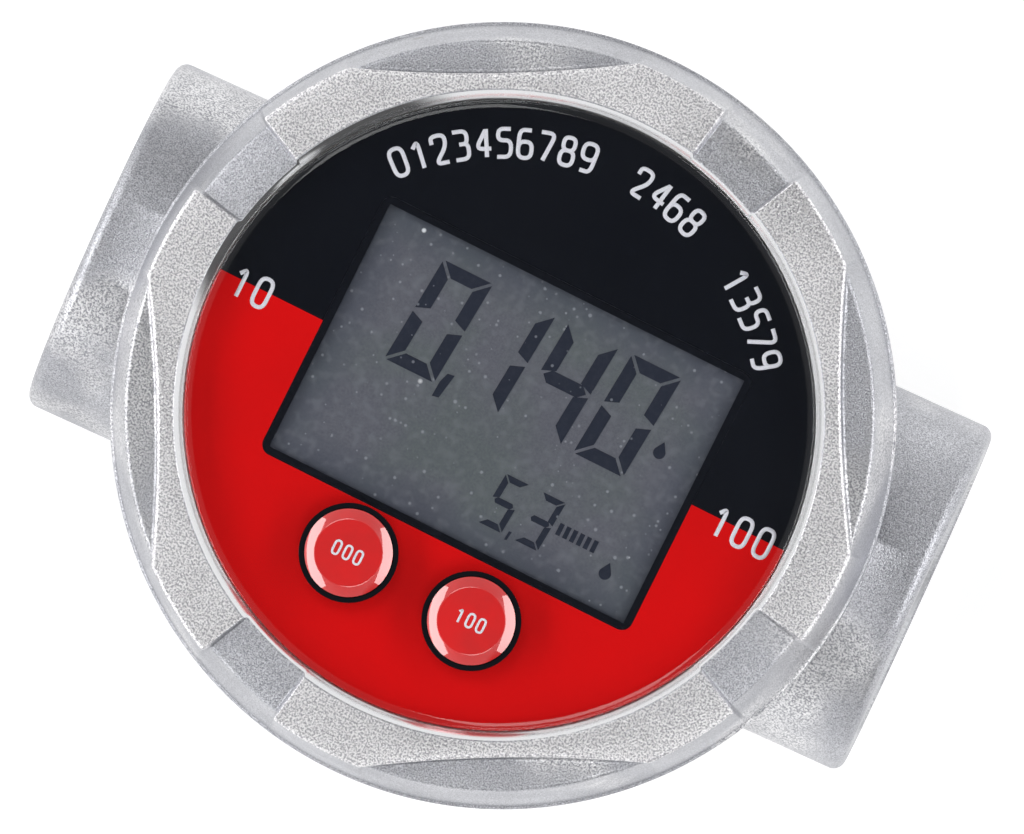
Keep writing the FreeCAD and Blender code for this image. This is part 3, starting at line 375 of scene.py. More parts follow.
class Surface(Tree):
    """A material in the making: its tree and its Principled shader."""

    def __init__(self, name: str) -> None:
        """Start a material.

        Args:
            name: the material's name.
        """
        self.material = bpy.data.materials.new(name)
        self.material.use_nodes = True
        super().__init__(self.material.node_tree)
        self.shader = self.tree.nodes["Principled BSDF"]

    @cached_property
    def place(self) -> Socket:
        """The piece's own coordinates."""
        return self.add("ShaderNodeTexCoord").outputs[Coord.OBJECT.value]

    def module_place(self) -> Any:
        """Turn the coordinates with the display module.

        Returns:
            The sockets of x, y and z.
        """
        turned = self.add("ShaderNodeMapping", {"Vector": self.place}, vector_type="TEXTURE")
        turned.inputs["Rotation"].default_value[2] = math.radians(MODULE_TURN)
        return self.add("ShaderNodeSeparateXYZ", {0: turned.outputs[0]}).outputs

    def effect(self, group: bpy.types.NodeTree, inputs: dict[str, float]) -> Any:
        """Place a shared effect.

        Args:
            group: the effect's node group.
            inputs: its own numbers by name.

        Returns:
            Its outputs.
        """
        values = {"Vector": self.place, **inputs}
        return self.add("ShaderNodeGroup", values, node_tree=group).outputs

    def grain(self, noise: Noise) -> Any:
        """Place grain. Returns its outputs Tone and Height."""
        return self.effect(EFFECTS.grain, noise.inputs())

    def cloud(self, noise: Noise) -> Socket:
        """Place a cloud. Returns its mask."""
        return self.effect(EFFECTS.cloud, noise.inputs())["Mask"]

    def specks(self, dots: Dots) -> Socket:
        """Place scattered dots. Returns their mask."""
        return self.effect(EFFECTS.specks, dots.inputs())["Mask"]

    def feed(self, name: str, value: Socket) -> None:
        """Feed a value to one of the shader's sockets."""
        self.join(value, self.shader.inputs[name])

    def feed_roughness(self, mask: Socket, ends: Range) -> None:
        """Let the roughness run between two ends as a mask goes from 0 to 1."""
        self.feed("Roughness", self.ramp(mask, 0.0, 1.0, *ends))

    def feed_bump(self, height: Socket, depth: float) -> None:
        """Feed a height of about 0 to 1 to the normal, a full step being depth millimetres."""
        bump = self.add("ShaderNodeBump", {"Height": height, "Distance": depth * MM})
        self.feed("Normal", bump.outputs[0])

    def feed_clouded(self, haze: Socket, colour: Colour, change: float, ends: Range) -> None:
        """Feed a colour and a roughness that follow a cloud.

        Args:
            haze: the cloud's mask.
            colour: the colour where there is no cloud.
            change: how much darker the cloud is.
            ends: the roughness without and with cloud.
        """
        self.feed("Base Color", self.blend(haze, colour, dimmed(colour, change)))
        self.feed_roughness(haze, ends)

    def set_plain(self, **values: float) -> None:
        """Set the shader's own sockets, whose names are written with underscores."""
        for name, value in values.items():
            self.shader.inputs[name.replace("_", " ")].default_value = value


def dimmed(colour: Colour, change: float) -> Colour:
    """Darken a colour by a share."""
    return tuple(channel * (1.0 - change) for channel in colour)


@dataclass(frozen=True)
class CastSkin:
    """A shot-blasted alloy casting, coarser and brighter where the attribute "pad" is 1."""

    name: str = "cast_alloy_skin"
    light: Colour = (0.70, 0.705, 0.745)
    dark: Colour = (0.27, 0.275, 0.30)
    pad_light: Colour = (1.0, 0.99, 1.0)
    pad_dark: Colour = (0.44, 0.43, 0.46)
    stain: Colour = (0.20, 0.17, 0.14)
    fine: Noise = Noise(5600.0, 0.36, 0.64)
    coarse: Noise = Noise(4200.0, 0.40, 0.57)
    haze: Noise = Noise(95.0, 0.3, 0.7)
    haze_share: float = 0.35
    patches: Noise = Noise(42.0, 0.50, 0.58)
    patch_share: float = 0.8
    spots: Dots = Dots(75.0, 0.12, 0.10)
    spot_share: float = 0.45
    roughness: Range = (0.30, 0.44)
    depth: float = 0.075

    def material(self) -> bpy.types.Material:
        """Build the finish.

        Returns:
            The material.
        """
        skin = Surface(self.name)
        fine, coarse = skin.grain(self.fine), skin.grain(self.coarse)
        haze = skin.cloud(self.haze)
        pad = skin.add("ShaderNodeAttribute", attribute_name="pad").outputs["Fac"]
        patch = skin.times(skin.cloud(self.patches), self.patch_share)
        plain = skin.blend(fine["Tone"], self.dark, self.light)
        sparkling = skin.blend(coarse["Tone"], self.dark, self.pad_light)
        patched = skin.blend(patch, plain, sparkling)
        shaded = skin.blend(skin.times(haze, self.haze_share), patched, self.dark)
        blasted = skin.blend(coarse["Tone"], self.pad_dark, self.pad_light)
        colour = skin.blend(pad, shaded, blasted)
        spots = skin.times(skin.specks(self.spots), self.spot_share)
        skin.feed("Base Color", skin.blend(spots, colour, self.stain))
        skin.feed_roughness(haze, self.roughness)
        skin.set_plain(Metallic=1.0)
        sides = {0: skin.largest(pad, patch), 2: fine["Height"], 3: coarse["Height"]}
        skin.feed_bump(skin.add("ShaderNodeMix", sides).outputs[0], self.depth)
        return skin.material


@dataclass(frozen=True)
class TurnedMetal:
    """A metal turned on a lathe, with fine rings and a few nicks."""

    name: str
    colour: Colour
    roughness: float
    roughness_rise: float = 0.06
    line_scale: float = 9000.0
    depth: float = 0.002
    shade: float = 0.25
    nicks: Dots = Dots(1100.0, 0.3, 0.12)
    nick_share: float = 0.5

    def material(self) -> bpy.types.Material:
        """Build the finish.

        Returns:
            The material.
        """
        metal = Surface(self.name)
        rings = metal.effect(EFFECTS.turned, {"Scale": self.line_scale})
        dark = dimmed(self.colour, self.shade)
        colour = metal.blend(rings["Tone"], dark, self.colour)
        nicks = metal.times(metal.specks(self.nicks), self.nick_share)
        metal.feed("Base Color", metal.blend(nicks, colour, dark))
        metal.feed_roughness(rings["Tone"], (self.roughness + self.roughness_rise, self.roughness))
        metal.set_plain(Metallic=1.0)
        metal.feed_bump(rings["Height"], self.depth)
        return metal.material


@dataclass(frozen=True)
class Moulded:
    """A moulded plastic, rubber or sleeve, with a faint cloud and a fine skin."""

    name: str
    colour: Colour
    roughness: float = 0.45
    roughness_rise: float = 0.1
    haze: Noise = Noise(160.0)
    skin: Noise = Noise(4000.0)
    depth: float = 0.01
    change: float = 0.2

    def material(self) -> bpy.types.Material:
        """Build the finish.

        Returns:
            The material.
        """
        plastic = Surface(self.name)
        ends = (self.roughness, self.roughness + self.roughness_rise)
        plastic.feed_clouded(plastic.cloud(self.haze), self.colour, self.change, ends)
        plastic.feed_bump(plastic.grain(self.skin)["Height"], self.depth)
        return plastic.material


@dataclass(frozen=True)
class Gloss:
    """A glossy, lacquered plastic."""

    name: str
    colour: Colour
    roughness: float = 0.12
    roughness_rise: float = 0.05
    coat: float = 1.0
    coat_roughness: float = 0.02
    coat_ior: float = 1.5
    haze: Noise = Noise(220.0)
    change: float = 0.14
    wave: float = 0.004

    def material(self) -> bpy.types.Material:
        """Build the finish.

        Returns:
            The material.
        """
        lacquer = Surface(self.name)
        haze = lacquer.cloud(self.haze)
        ends = (self.roughness, self.roughness + self.roughness_rise)
        lacquer.feed_clouded(haze, self.colour, self.change, ends)
        lacquer.set_plain(Coat_Weight=self.coat, Coat_Roughness=self.coat_roughness,
                          Coat_IOR=self.coat_ior)
        if self.wave:
            lacquer.feed_bump(haze, self.wave)
        return lacquer.material


@dataclass(frozen=True)
class FacePrint:
    """The two-tone film: black above, red below, split by a straight edge across the module."""

    name: str = "face_print"
    black: Colour = (0.0016, 0.0026, 0.0058)
    red: Colour = (0.74, 0.001, 0.002)
    split: float = 0.7
    haze: Noise = Noise(45.0)
    change: float = 0.1
    roughness: Range = (0.42, 0.5)
    shine: float = 0.08

    def material(self) -> bpy.types.Material:
        """Build the finish.

        Returns:
            The material.
        """
        film = Surface(self.name)
        above = film.math("GREATER_THAN", film.module_place()[1], self.split * MM)
        haze = film.cloud(self.haze)
        red = film.blend(haze, self.red, dimmed(self.red, self.change))
        film.feed("Base Color", film.blend(above, red, self.black))
        film.feed_roughness(haze, self.roughness)
        film.set_plain(Specular_IOR_Level=self.shine)
        return film.material


@dataclass(frozen=True)
class ClearPlastic:
    """The clear moulded lens. Light that falls through it isn't stopped."""

    name: str = "clear_moulding"
    tints: tuple[Colour, Colour] = ((0.99, 0.995, 1.0), (0.97, 0.98, 0.99))
    haze: Noise = Noise(30.0)
    ior: float = 1.49
    wave: float = 0.0012

    def material(self) -> bpy.types.Material:
        """Build the finish.

        Returns:
            The material.
        """
        lens = Surface(self.name)
        haze = lens.cloud(self.haze)
        lens.set_plain(Metallic=0.0, Transmission_Weight=1.0, Roughness=0.0, IOR=self.ior)
        lens.feed("Base Color", lens.blend(haze, *self.tints))
        lens.feed_bump(haze, self.wave)
        clear = lens.add("ShaderNodeBsdfTransparent")
        path = lens.add("ShaderNodeLightPath").outputs
        lit = lens.largest(path["Is Shadow Ray"], path["Is Diffuse Ray"])
        sides = {0: lit, 1: lens.shader.outputs[0], 2: clear.outputs[0]}
        mix = lens.add("ShaderNodeMixShader", sides)
        lens.join(mix.outputs[0], lens.tree.nodes["Material Output"].inputs[0])
        return lens.material


@dataclass(frozen=True)
class CrystalGlass:
    """The liquid crystal display's grey glass, with clouds, dust and painted shade at its borders.
    """

    name: str = "display_glass"
    middle: Colour = (0.132, 0.135, 0.158)
    # A dark tone, used both for painted shade towards the borders and for random mottle.
    shade_and_mottle: Colour = (0.062, 0.070, 0.095)
    green: Colour = (0.118, 0.134, 0.138)
    dust: Colour = (0.34, 0.36, 0.40)
    flake: Colour = (0.75, 0.77, 0.80)
    centre: Point = (0.64, 0.56)
    half: Point = (22.6, 15.4)
    shade_width: float = 5.0
    shade_share: float = 0.75
    haze: Noise = Noise(85.0, 0.4, 0.62)
    mottle: Noise = Noise(3600.0, 0.3, 0.7)
    mottle_share: float = 0.45
    smear: Noise = Noise(900.0, 0.50, 0.80)
    smear_share: float = 0.18
    dust_dots: Dots = Dots(1500.0, 0.42, 0.22)
    dust_share: float = 0.55
    flakes: Dots = Dots(300.0, 0.14, 0.07)
    roughness: Range = (0.3, 0.4)
    shine: float = 0.15

    def material(self) -> bpy.types.Material:
        """Build the finish.

        Returns:
            The material.
        """
        glass = Surface(self.name)
        place = glass.module_place()
        # The edges mask is painted shade: it darkens the glass over its last few millimetres
        # towards each border.
        edges = []
        for axis, (centre, half) in enumerate(zip(self.centre, self.half)):
            away = glass.math("ABSOLUTE", glass.math("SUBTRACT", place[axis], centre * MM))
            edges.append(glass.ramp(away, (half - self.shade_width) * MM, half * MM))
        haze = glass.cloud(self.haze)
        layers = (
            (glass.times(glass.largest(*edges), self.shade_share), self.shade_and_mottle),
            (glass.times(glass.grain(self.mottle)["Tone"], self.mottle_share), self.shade_and_mottle),
            (glass.times(glass.cloud(self.smear), self.smear_share), self.dust),
            (glass.times(glass.specks(self.dust_dots), self.dust_share), self.dust),
            (glass.specks(self.flakes), self.flake))
        colour = glass.blend(haze, self.middle, self.green)
        for mask, layer in layers:
            colour = glass.blend(mask, colour, layer)
        glass.feed("Base Color", colour)
        glass.feed_roughness(haze, self.roughness)
        glass.set_plain(Specular_IOR_Level=self.shine)
        return glass.material


@dataclass(frozen=True)
class Ink:
    """Printed ink or a dark crystal segment, a little uneven."""

    name: str
    colour: Colour
    thin: Colour
    scale: float = 1500.0
    levels: Range = (0.45, 0.7)
    share: float = 0.35
    marks: Dots = Dots(1300.0, 0.3, 0.25)
    mark_colour: Colour = (0.3, 0.32, 0.36)
    scratch: float = 0.0
    height_levels: Range = (0.3, 0.7)
    roughness: Range = (0.45, 0.6)
    shine: float = 0.15

    def material(self) -> bpy.types.Material:
        """Build the finish.

        Returns:
            The material.
        """
        ink = Surface(self.name)
        grain = ink.grain(Noise(self.scale, *self.levels))
        colour = ink.blend(ink.times(grain["Tone"], self.share), self.colour, self.thin)
        marks = ink.times(ink.specks(self.marks), self.scratch)
        ink.feed("Base Color", ink.blend(marks, colour, self.mark_colour))
        ink.feed("Roughness", ink.ramp(grain["Height"], *self.height_levels, *self.roughness))
        ink.set_plain(Specular_IOR_Level=self.shine)
        return ink.material


FINISHES: dict[str, Any] = {
    "cast_alloy": CastSkin(),
    "brass": TurnedMetal("turned_brass", (0.72, 0.52, 0.22), 0.25),
    "steel": TurnedMetal("ground_steel", (0.62, 0.62, 0.64), 0.25),
    "spring_steel": TurnedMetal("oiled_spring_steel", (0.34, 0.35, 0.37), 0.32),
    "white_plastic": Moulded("white_moulding", (0.78, 0.78, 0.76)),
    "blue_plastic": Moulded("blue_moulding", (0.05, 0.14, 0.45), 0.35),
    "black_plastic": Moulded("black_moulding", (0.018, 0.018, 0.02), 0.5),
    "black_gloss": Gloss("black_lacquer", (0.006, 0.007, 0.010)),
    "red_gloss": Gloss("red_resin", (0.80, 0.001, 0.002), 0.4, coat_ior=2.0, wave=0.0),
    "printed_film": FacePrint(),
    "clear_lens": ClearPlastic(),
    "display_glass": CrystalGlass(),
    "silver_film": Moulded("reflector_film", (0.55, 0.57, 0.57), 0.3),
    "rubber": Moulded("nitrile_rubber", (0.022, 0.022, 0.024), 0.62),
    "board": Moulded("solder_mask", (0.01, 0.13, 0.045), 0.32),
    "chip_black": Moulded("moulded_epoxy", (0.016, 0.016, 0.018), 0.55),
    "battery_skin": Moulded("cell_sleeve", (0.06, 0.06, 0.07), 0.25),
    "magnet": TurnedMetal("nickel_plate", (0.55, 0.54, 0.50), 0.2),
    "machined": TurnedMetal("machined_alloy", (0.96, 0.965, 0.985), 0.07, shade=0.10),
    "cut_bore": TurnedMetal("cut_bore", (0.66, 0.665, 0.69), 0.28),
    "white_ink": Ink("white_ink", (0.80, 0.80, 0.86), (0.60, 0.61, 0.70), 2600.0),
    "frame_print": Ink("frame_print", (0.0016, 0.0026, 0.0058), (0.003, 0.004, 0.008), shine=0.08),
    "dark_segment": Ink("dark_segment", (0.014, 0.018, 0.032), (0.030, 0.036, 0.052), scratch=0.5),
}


class Materials:
    """Builds each finish the first time that a piece asks for it."""

    def __init__(self) -> None:
        """Start with nothing built."""
        self.built: dict[str, bpy.types.Material] = {}

    def get(self, finish: str) -> bpy.types.Material:
        """Find or build a finish.

        Args:
            finish: its name in FINISHES.

        Returns:
            The material.
        """
        if finish not in self.built:
            self.built[finish] = FINISHES[finish].material()
        return self.built[finish]


MATERIALS = Materials()


# Meshes -------------------------------------------------------------------------------------------

SIDE_SHARE = 0.45
TINY = 1e-9


def link_object(name: str, data: bpy.types.ID) -> bpy.types.Object:
    """Put data into the scene as an object at the origin.

    Args:
        name: the object's name.
        data: its mesh, camera or lamp.

    Returns:
        The object.
    """
    made = bpy.data.objects.new(name, data)
    bpy.context.scene.collection.objects.link(made)
    return made


def make_mesh(name: str, corners: Line, faces: Sequence[Sequence[int]],
              edges: Sequence[Sequence[int]] = ()) -> bpy.types.Mesh:
    """Make a mesh from millimetre corners.

    Args:
        name: the mesh's name.
        corners: x, y and z of each corner.
        faces: the corners of each face.
        edges: the two corners of each loose edge.

    Returns:
        The mesh, in metres.
    """
    mesh = bpy.data.meshes.new(name)
    mesh.from_pydata([tuple(value * MM for value in corner) for corner in corners], edges, faces)
    mesh.update()
    return mesh


def ring_faces(rows: int, count: int, first: int = 0) -> list[tuple[int, ...]]:
    """Join rows of corners into a tube of four-sided faces.

    Args:
        rows: how many rows there are.
        count: how many corners a closed row has.
        first: the number of the first row's first corner.

    Returns:
        The corners of each face, row by row.
    """
    faces = []
    for row in range(rows - 1):
        low = first + row * count
        for step in range(count):
            following = (step + 1) % count
            faces.append((low + step, low + following, low + count + following, low + count + step))
    return faces


def tidy_mesh(mesh: bpy.types.Mesh, sharp: float = 32.0) -> bpy.types.Mesh:
    """Merge doubles, turn every face outwards and shade smooth between sharp edges.

    Args:
        mesh: a closed mesh.
        sharp: the angle past which an edge stays crisp.

    Returns:
        The same mesh.
    """
    work = bmesh.new()
    work.from_mesh(mesh)
    bmesh.ops.remove_doubles(work, verts=work.verts, dist=MERGE_M)
    bmesh.ops.recalc_face_normals(work, faces=work.faces)
    work.to_mesh(mesh)
    work.free()
    mesh.shade_smooth()
    mesh.set_sharp_from_angle(angle=math.radians(sharp))
    return mesh


def add_piece(name: str, mesh: bpy.types.Mesh, body: Body,
              replaced: Sequence[str] = ()) -> None:
    """Put a finished mesh into the scene as a piece of the meter.

    Args:
        name: the piece's name.
        mesh: its mesh, in place, with its materials.
        body: the body that it rides on.
        replaced: the nodes that it stands for.
    """
    piece = link_object(name, mesh)
    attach(piece, body.value)
    if replaced:
        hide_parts(*replaced)
    LOG.info("%s: %d faces on %s", name, len(mesh.polygons), body.value)


def bake_nodes(name: str, source: bpy.types.Mesh, group: bpy.types.NodeTree,
               values: dict[str, Any]) -> bpy.types.Mesh:
    """Run a mesh through a geometry node group and keep the result as a plain mesh.

    Args:
        name: the result's name.
        source: the mesh that the group starts from.
        group: the geometry node group.
        values: its inputs by name.

    Returns:
        The plain mesh.
    """
    helper = link_object(name + "_helper", source)
    modifier = helper.modifiers.new("build", "NODES")
    modifier.node_group = group
    for item in group.interface.items_tree:
        if item.item_type == "SOCKET" and item.in_out == "INPUT" and item.name in values:
            modifier[item.identifier] = values[item.name]
    graph = bpy.context.evaluated_depsgraph_get()
    result = bpy.data.meshes.new_from_object(helper.evaluated_get(graph))
    result.name = name
    helper.modifiers.clear()
    bpy.data.objects.remove(helper)
    return result


def edit_copy(node: str) -> bmesh.types.BMesh:
    """Copy a node's mesh for editing, with its doubled corners merged.

    Args:
        node: the node's name.

    Returns:
        The copy.
    """
    work = bmesh.new()
    work.from_mesh(frame["nodes"][node].data)
    bmesh.ops.remove_doubles(work, verts=work.verts, dist=MERGE_M)
    return work


def end_edit(name: str, work: bmesh.types.BMesh) -> bpy.types.Mesh:
    """Turn an edited copy into a new mesh.

    Args:
        name: the mesh's name.
        work: the copy, which is freed.

    Returns:
        The mesh.
    """
    mesh = bpy.data.meshes.new(name)
    work.to_mesh(mesh)
    work.free()
    return mesh


def cut_away(mesh: bpy.types.Mesh, cutter: bpy.types.Mesh) -> bpy.types.Mesh:
    """Take one closed mesh out of another.

    Args:
        mesh: what is cut.
        cutter: the solid to take away.

    Returns:
        The cut mesh.
    """
    helpers = [link_object("cut_helper", side) for side in (mesh, cutter)]
    modifier = helpers[0].modifiers.new("cut", "BOOLEAN")
    modifier.operation = "DIFFERENCE"
    modifier.solver = "MANIFOLD"
    modifier.object = helpers[1]
    graph = bpy.context.evaluated_depsgraph_get()
    result = bpy.data.meshes.new_from_object(helpers[0].evaluated_get(graph))
    for helper in helpers:
        bpy.data.objects.remove(helper)
    return result


def turned_by(x: float, y: float, angle: float) -> Point:
    """Turn a flat point about the origin by an angle in degrees."""
    sine, cosine = math.sin(math.radians(angle)), math.cos(math.radians(angle))
    return x * cosine - y * sine, x * sine + y * cosine


def smooth_step(value: float) -> float:
    """Rise gently from 0 to 1 as value goes from 0 to 1."""
    held = min(max(value, 0.0), 1.0)
    return held * held * (3.0 - 2.0 * held)


def between(first: Point, second: Point, share: float) -> Point:
    """Find the point at a share of the way from first to second."""
    return first[0] + (second[0] - first[0]) * share, first[1] + (second[1] - first[1]) * share


def round_corner(before: Point, corner: Point, after: Point, radius: float,
                 count: int) -> list[Point]:
    """Round one corner of an outline with a quadratic curve.

    Args:
        before: the corner before.
        corner: the corner itself.
        after: the corner after.
        radius: how far along each side the curve starts, limited by the sides.
        count: how many points the curve has.

    Returns:
        The points of the curve.
    """
    reaches = []
    for other in (before, after):
        length = math.dist(corner, other)
        reach = min(radius, SIDE_SHARE * length)
        reaches.append(between(corner, other, reach / length if length > TINY else 0.0))
    points = []
    for step in range(count):
        share = step / (count - 1)
        into, out_of = between(reaches[0], corner, share), between(corner, reaches[1], share)
        points.append(between(into, out_of, share))
    return points


def prisms(name: str, outlines: Sequence[Sequence[Point]], low: float,
           high: float) -> bpy.types.Mesh:
    """Stand each flat outline up as a closed prism.

    Args:
        name: the mesh's name.
        outlines: the corners of each outline.
        low: the height of the undersides.
        high: the height of the tops.

    Returns:
        The mesh.
    """
    corners: list[tuple[float, float, float]] = []
    faces: list[tuple[int, ...]] = []
    for outline in outlines:
        first, count = len(corners), len(outline)
        corners += [(x, y, level) for level in (low, high) for x, y in outline]
        faces.append(tuple(range(first + count - 1, first - 1, -1)))
        faces.append(tuple(range(first + count, first + 2 * count)))
        faces += ring_faces(2, count, first)
    return tidy_mesh(make_mesh(name, corners, faces))


def lathe(name: str, section: Sequence[Point], centre: Point, count: int = 96) -> bpy.types.Mesh:
    """Turn a section about a vertical axis, from one point on the axis to another.

    Args:
        name: the mesh's name.
        section: radius and height of each point; the first and last lie on the axis.
        centre: where the axis stands.
        count: how many flats the turn has.

    Returns:
        The closed mesh.
    """
    corners = [(*centre, section[0][1])]
    for radius, height in section[1:-1]:
        for step in range(count):
            x, y = turned_by(radius, 0.0, 360.0 * step / count)
            corners.append((centre[0] + x, centre[1] + y, height))
    corners.append((*centre, section[-1][1]))
    last = len(corners) - 1
    faces = ring_faces(len(section) - 2, count, 1)
    for step in range(count):
        following = (step + 1) % count
        faces.append((0, 1 + following, 1 + step))
        faces.append((last, last - count + step, last - count + following))
    return tidy_mesh(make_mesh(name, corners, faces))


# The screw cap ------------------------------------------------------------------------------------

@dataclass
class ScrewCap:
    """The cast cap: raised pads between four notches and four scallops, and a bright chamfer."""

    # How far the cap is turned, and its lip, turned chamfer, pads, wall and rim.
    clock: float = -19.7
    lip_radius: float = 36.1
    lip_height: float = 0.4
    lip_drop: float = 1.5
    chamfer_radius: float = 37.2
    pad_radius: float = 43.2
    wall_radius: float = 44.70
    rim_radius: float = 45.08
    rim_height: float = 1.9
    inner_radius: float = 41.3
    step_radius: float = 37.9
    step_drop: float = 4.0
    # The scallops between the pads' lobes, and how softly a lobe goes over into one.
    scallop_reach: float = 39.04
    scallop_half: float = 22.5
    scallop_depth: float = 2.6
    scallop_crease: float = 42.85
    flank_start: float = 0.3
    flank_width: float = 0.6
    crease_gap: float = 0.02
    lobe_inset: float = 0.03
    lobe_lift: float = 0.3
    # The notches: half their angle, their walls' angle, their floor and their outer crease.
    notch_half: float = 7.3
    notch_edge: float = 0.75
    notch_inner_depth: float = 0.2
    notch_depth: float = 1.5
    notch_crease: float = 42.3
    notch_shares: tuple[float, ...] = (0.05, 0.1)
    # How finely the section and the turn are divided: a reach in degrees and a count of steps.
    corner_points: int = 4
    even_step: float = 0.75
    least_step: float = 0.04
    notch_steps: tuple[float, int] = (0.6, 14)
    scallop_steps: tuple[float, int] = (0.7, 12)
    merge_m: float = 2e-6
    sharp: float = 60.0
    # The corners of the section that start a face cut by the lathe, and how round each edge is.
    cut_corners: frozenset[int] = frozenset({0, 1, 9, 10, 11, 12})
    edge_rounds: dict[Edge, float] = field(default_factory=lambda: {
        Edge.LIP: 0.08, Edge.CHAMFER: 0.12, Edge.PAD: 0.45, Edge.FOOT: 0.5, Edge.CREASE: 0.5,
        Edge.WALL: 0.6, Edge.RIM: 0.45, Edge.PLAIN: 0.15})

    def __post_init__(self) -> None:
        """Take the cap's levels from the frame."""
        low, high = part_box("screw_cap")
        self.foot_z = low.z / MM
        self.top_z = high.z / MM
        self.wall_low = self.foot_z + self.rim_height

    def pad_share(self, angle: float) -> float:
        """Say how much of the pad stands at an angle from the notch's middle, from 0 to 1."""
        return smooth_step((abs(angle) - self.notch_half) / self.notch_edge + 0.5)

    def scallop_edge(self, angle: float) -> float:
        """Find where the scallop or the pad's own edge ends the pad.

        Args:
            angle: the angle from the notch's middle.

        Returns:
            The pad's outer radius.
        """
        away = HALF_QUARTER - abs(angle)
        if away >= self.scallop_half:
            return self.pad_radius
        corner_x, corner_y = turned_by(self.pad_radius, 0.0, self.scallop_half)
        reach = self.scallop_reach
        centre = (corner_x ** 2 + corner_y ** 2 - reach ** 2) / (2.0 * (corner_x - reach))
        sine, cosine = math.sin(math.radians(away)), math.cos(math.radians(away))
        return centre * cosine - math.sqrt((centre - reach) ** 2 - (centre * sine) ** 2)

    def pad_corners(self, angle: float) -> list[Point]:
        """Find the outer corners of the section where the pad stands.

        Args:
            angle: the angle from the notch's middle.

        Returns:
            The edge, the foot and the crease.
        """
        edge = self.scallop_edge(angle)
        floor = self.top_z - self.scallop_depth
        away = HALF_QUARTER - abs(angle)
        flank = smooth_step((self.scallop_half + self.flank_start - away) / self.flank_width)
        lobe_slope = (self.wall_radius - self.pad_radius) / (self.top_z - self.wall_low)
        lobe_radius = self.pad_radius + lobe_slope * self.scallop_depth
        crease = max(edge, self.scallop_crease)
        flank_slope = (self.wall_radius - self.scallop_crease) / (floor - self.wall_low)
        crease_z = floor - (crease - self.scallop_crease) / flank_slope
        scalloped = [(edge, self.top_z), (min(edge, crease), crease_z + self.crease_gap),
                     (crease + self.crease_gap, crease_z)]
        lobe = [(self.pad_radius, self.top_z),
                (lobe_radius - self.lobe_inset, floor + self.lobe_lift), (lobe_radius, floor)]
        return [between(first, second, flank) for first, second in zip(lobe, scalloped)]

    def notch_corners(self) -> list[Point]:
        """Find the outer corners of the section in a notch.

        Returns:
            The crease, and two points down the wall below it.
        """
        crease = (self.notch_crease, self.top_z - self.notch_depth)
        foot = (self.wall_radius, self.wall_low)
        return [crease] + [between(crease, foot, share) for share in self.notch_shares]

    def chamfer_end(self, share: float, lip_top: float) -> Point:
        """Find where the turned chamfer ends, on the pad's top or on the notch's floor.

        Args:
            share: how much of the pad stands here, from 0 to 1.
            lip_top: the height at which the chamfer starts.

        Returns:
            The radius and the height.
        """
        rise = self.notch_depth - self.notch_inner_depth
        slope = rise / (self.notch_crease - self.lip_radius)
        bright = (self.chamfer_radius - self.lip_radius) / (self.top_z - lip_top)
        run = (self.top_z - self.notch_inner_depth - lip_top) / (1.0 / bright + slope)
        in_notch = (self.lip_radius + run, lip_top + run / bright)
        return between(in_notch, (self.chamfer_radius, self.top_z), share)

    def section(self, angle: float) -> tuple[list[Point], list[bool]]:
        """Make the closed section at an angle from a notch's middle.

        Args:
            angle: the angle, from -45 to 45.

        Returns:
            The points, and for each whether the lathe has cut the face that starts there.
        """
        share = self.pad_share(angle)
        lip_low = self.top_z - self.lip_drop
        lip_top = lip_low + self.lip_height
        step_z = self.top_z - self.step_drop
        edge, foot, crease = (between(low, high, share)
                              for low, high in zip(self.notch_corners(), self.pad_corners(angle)))
        corners = [
            ((self.lip_radius, lip_low), Edge.PLAIN),
            ((self.lip_radius, lip_top), Edge.LIP),
            (self.chamfer_end(share, lip_top), Edge.CHAMFER),
            (edge, Edge.PAD), (foot, Edge.FOOT), (crease, Edge.CREASE),
            ((self.wall_radius, self.wall_low), Edge.WALL),
            ((self.rim_radius, self.wall_low), Edge.RIM),
            ((self.rim_radius, self.foot_z), Edge.RIM),
            ((self.inner_radius, self.foot_z), Edge.PLAIN),
            ((self.inner_radius, step_z), Edge.PLAIN),
            ((self.step_radius, step_z), Edge.PLAIN),
            ((self.step_radius, lip_low), Edge.PLAIN)]
        points: list[Point] = []
        turned: list[bool] = []
        for index, (corner, kind) in enumerate(corners):
            before = corners[index - 1][0]
            after = corners[(index + 1) % len(corners)][0]
            radius = self.edge_rounds[kind]
            points += round_corner(before, corner, after, radius, self.corner_points)
            turned += [index in self.cut_corners] * self.corner_points
        return points, turned

    def angles(self) -> list[float]:
        """List the section angles, crowded at the notch walls and the scallop corners.

        Returns:
            The angles of one quarter, from -45 to 45.
        """
        marks = {self.even_step * step - HALF_QUARTER
                 for step in range(round(2.0 * HALF_QUARTER / self.even_step) + 1)}
        crowds = ((self.notch_half, *self.notch_steps),
                  (HALF_QUARTER - self.scallop_half, *self.scallop_steps))
        for side in (-1.0, 1.0):
            for centre, reach, count in crowds:
                marks |= {side * (centre - reach + 2.0 * reach * step / count)
                          for step in range(count + 1)}
        ordered = sorted(marks)
        kept = [ordered[0]]
        for mark in ordered[1:]:
            if mark - kept[-1] > self.least_step:
                kept.append(mark)
        kept[-1] = HALF_QUARTER
        return kept

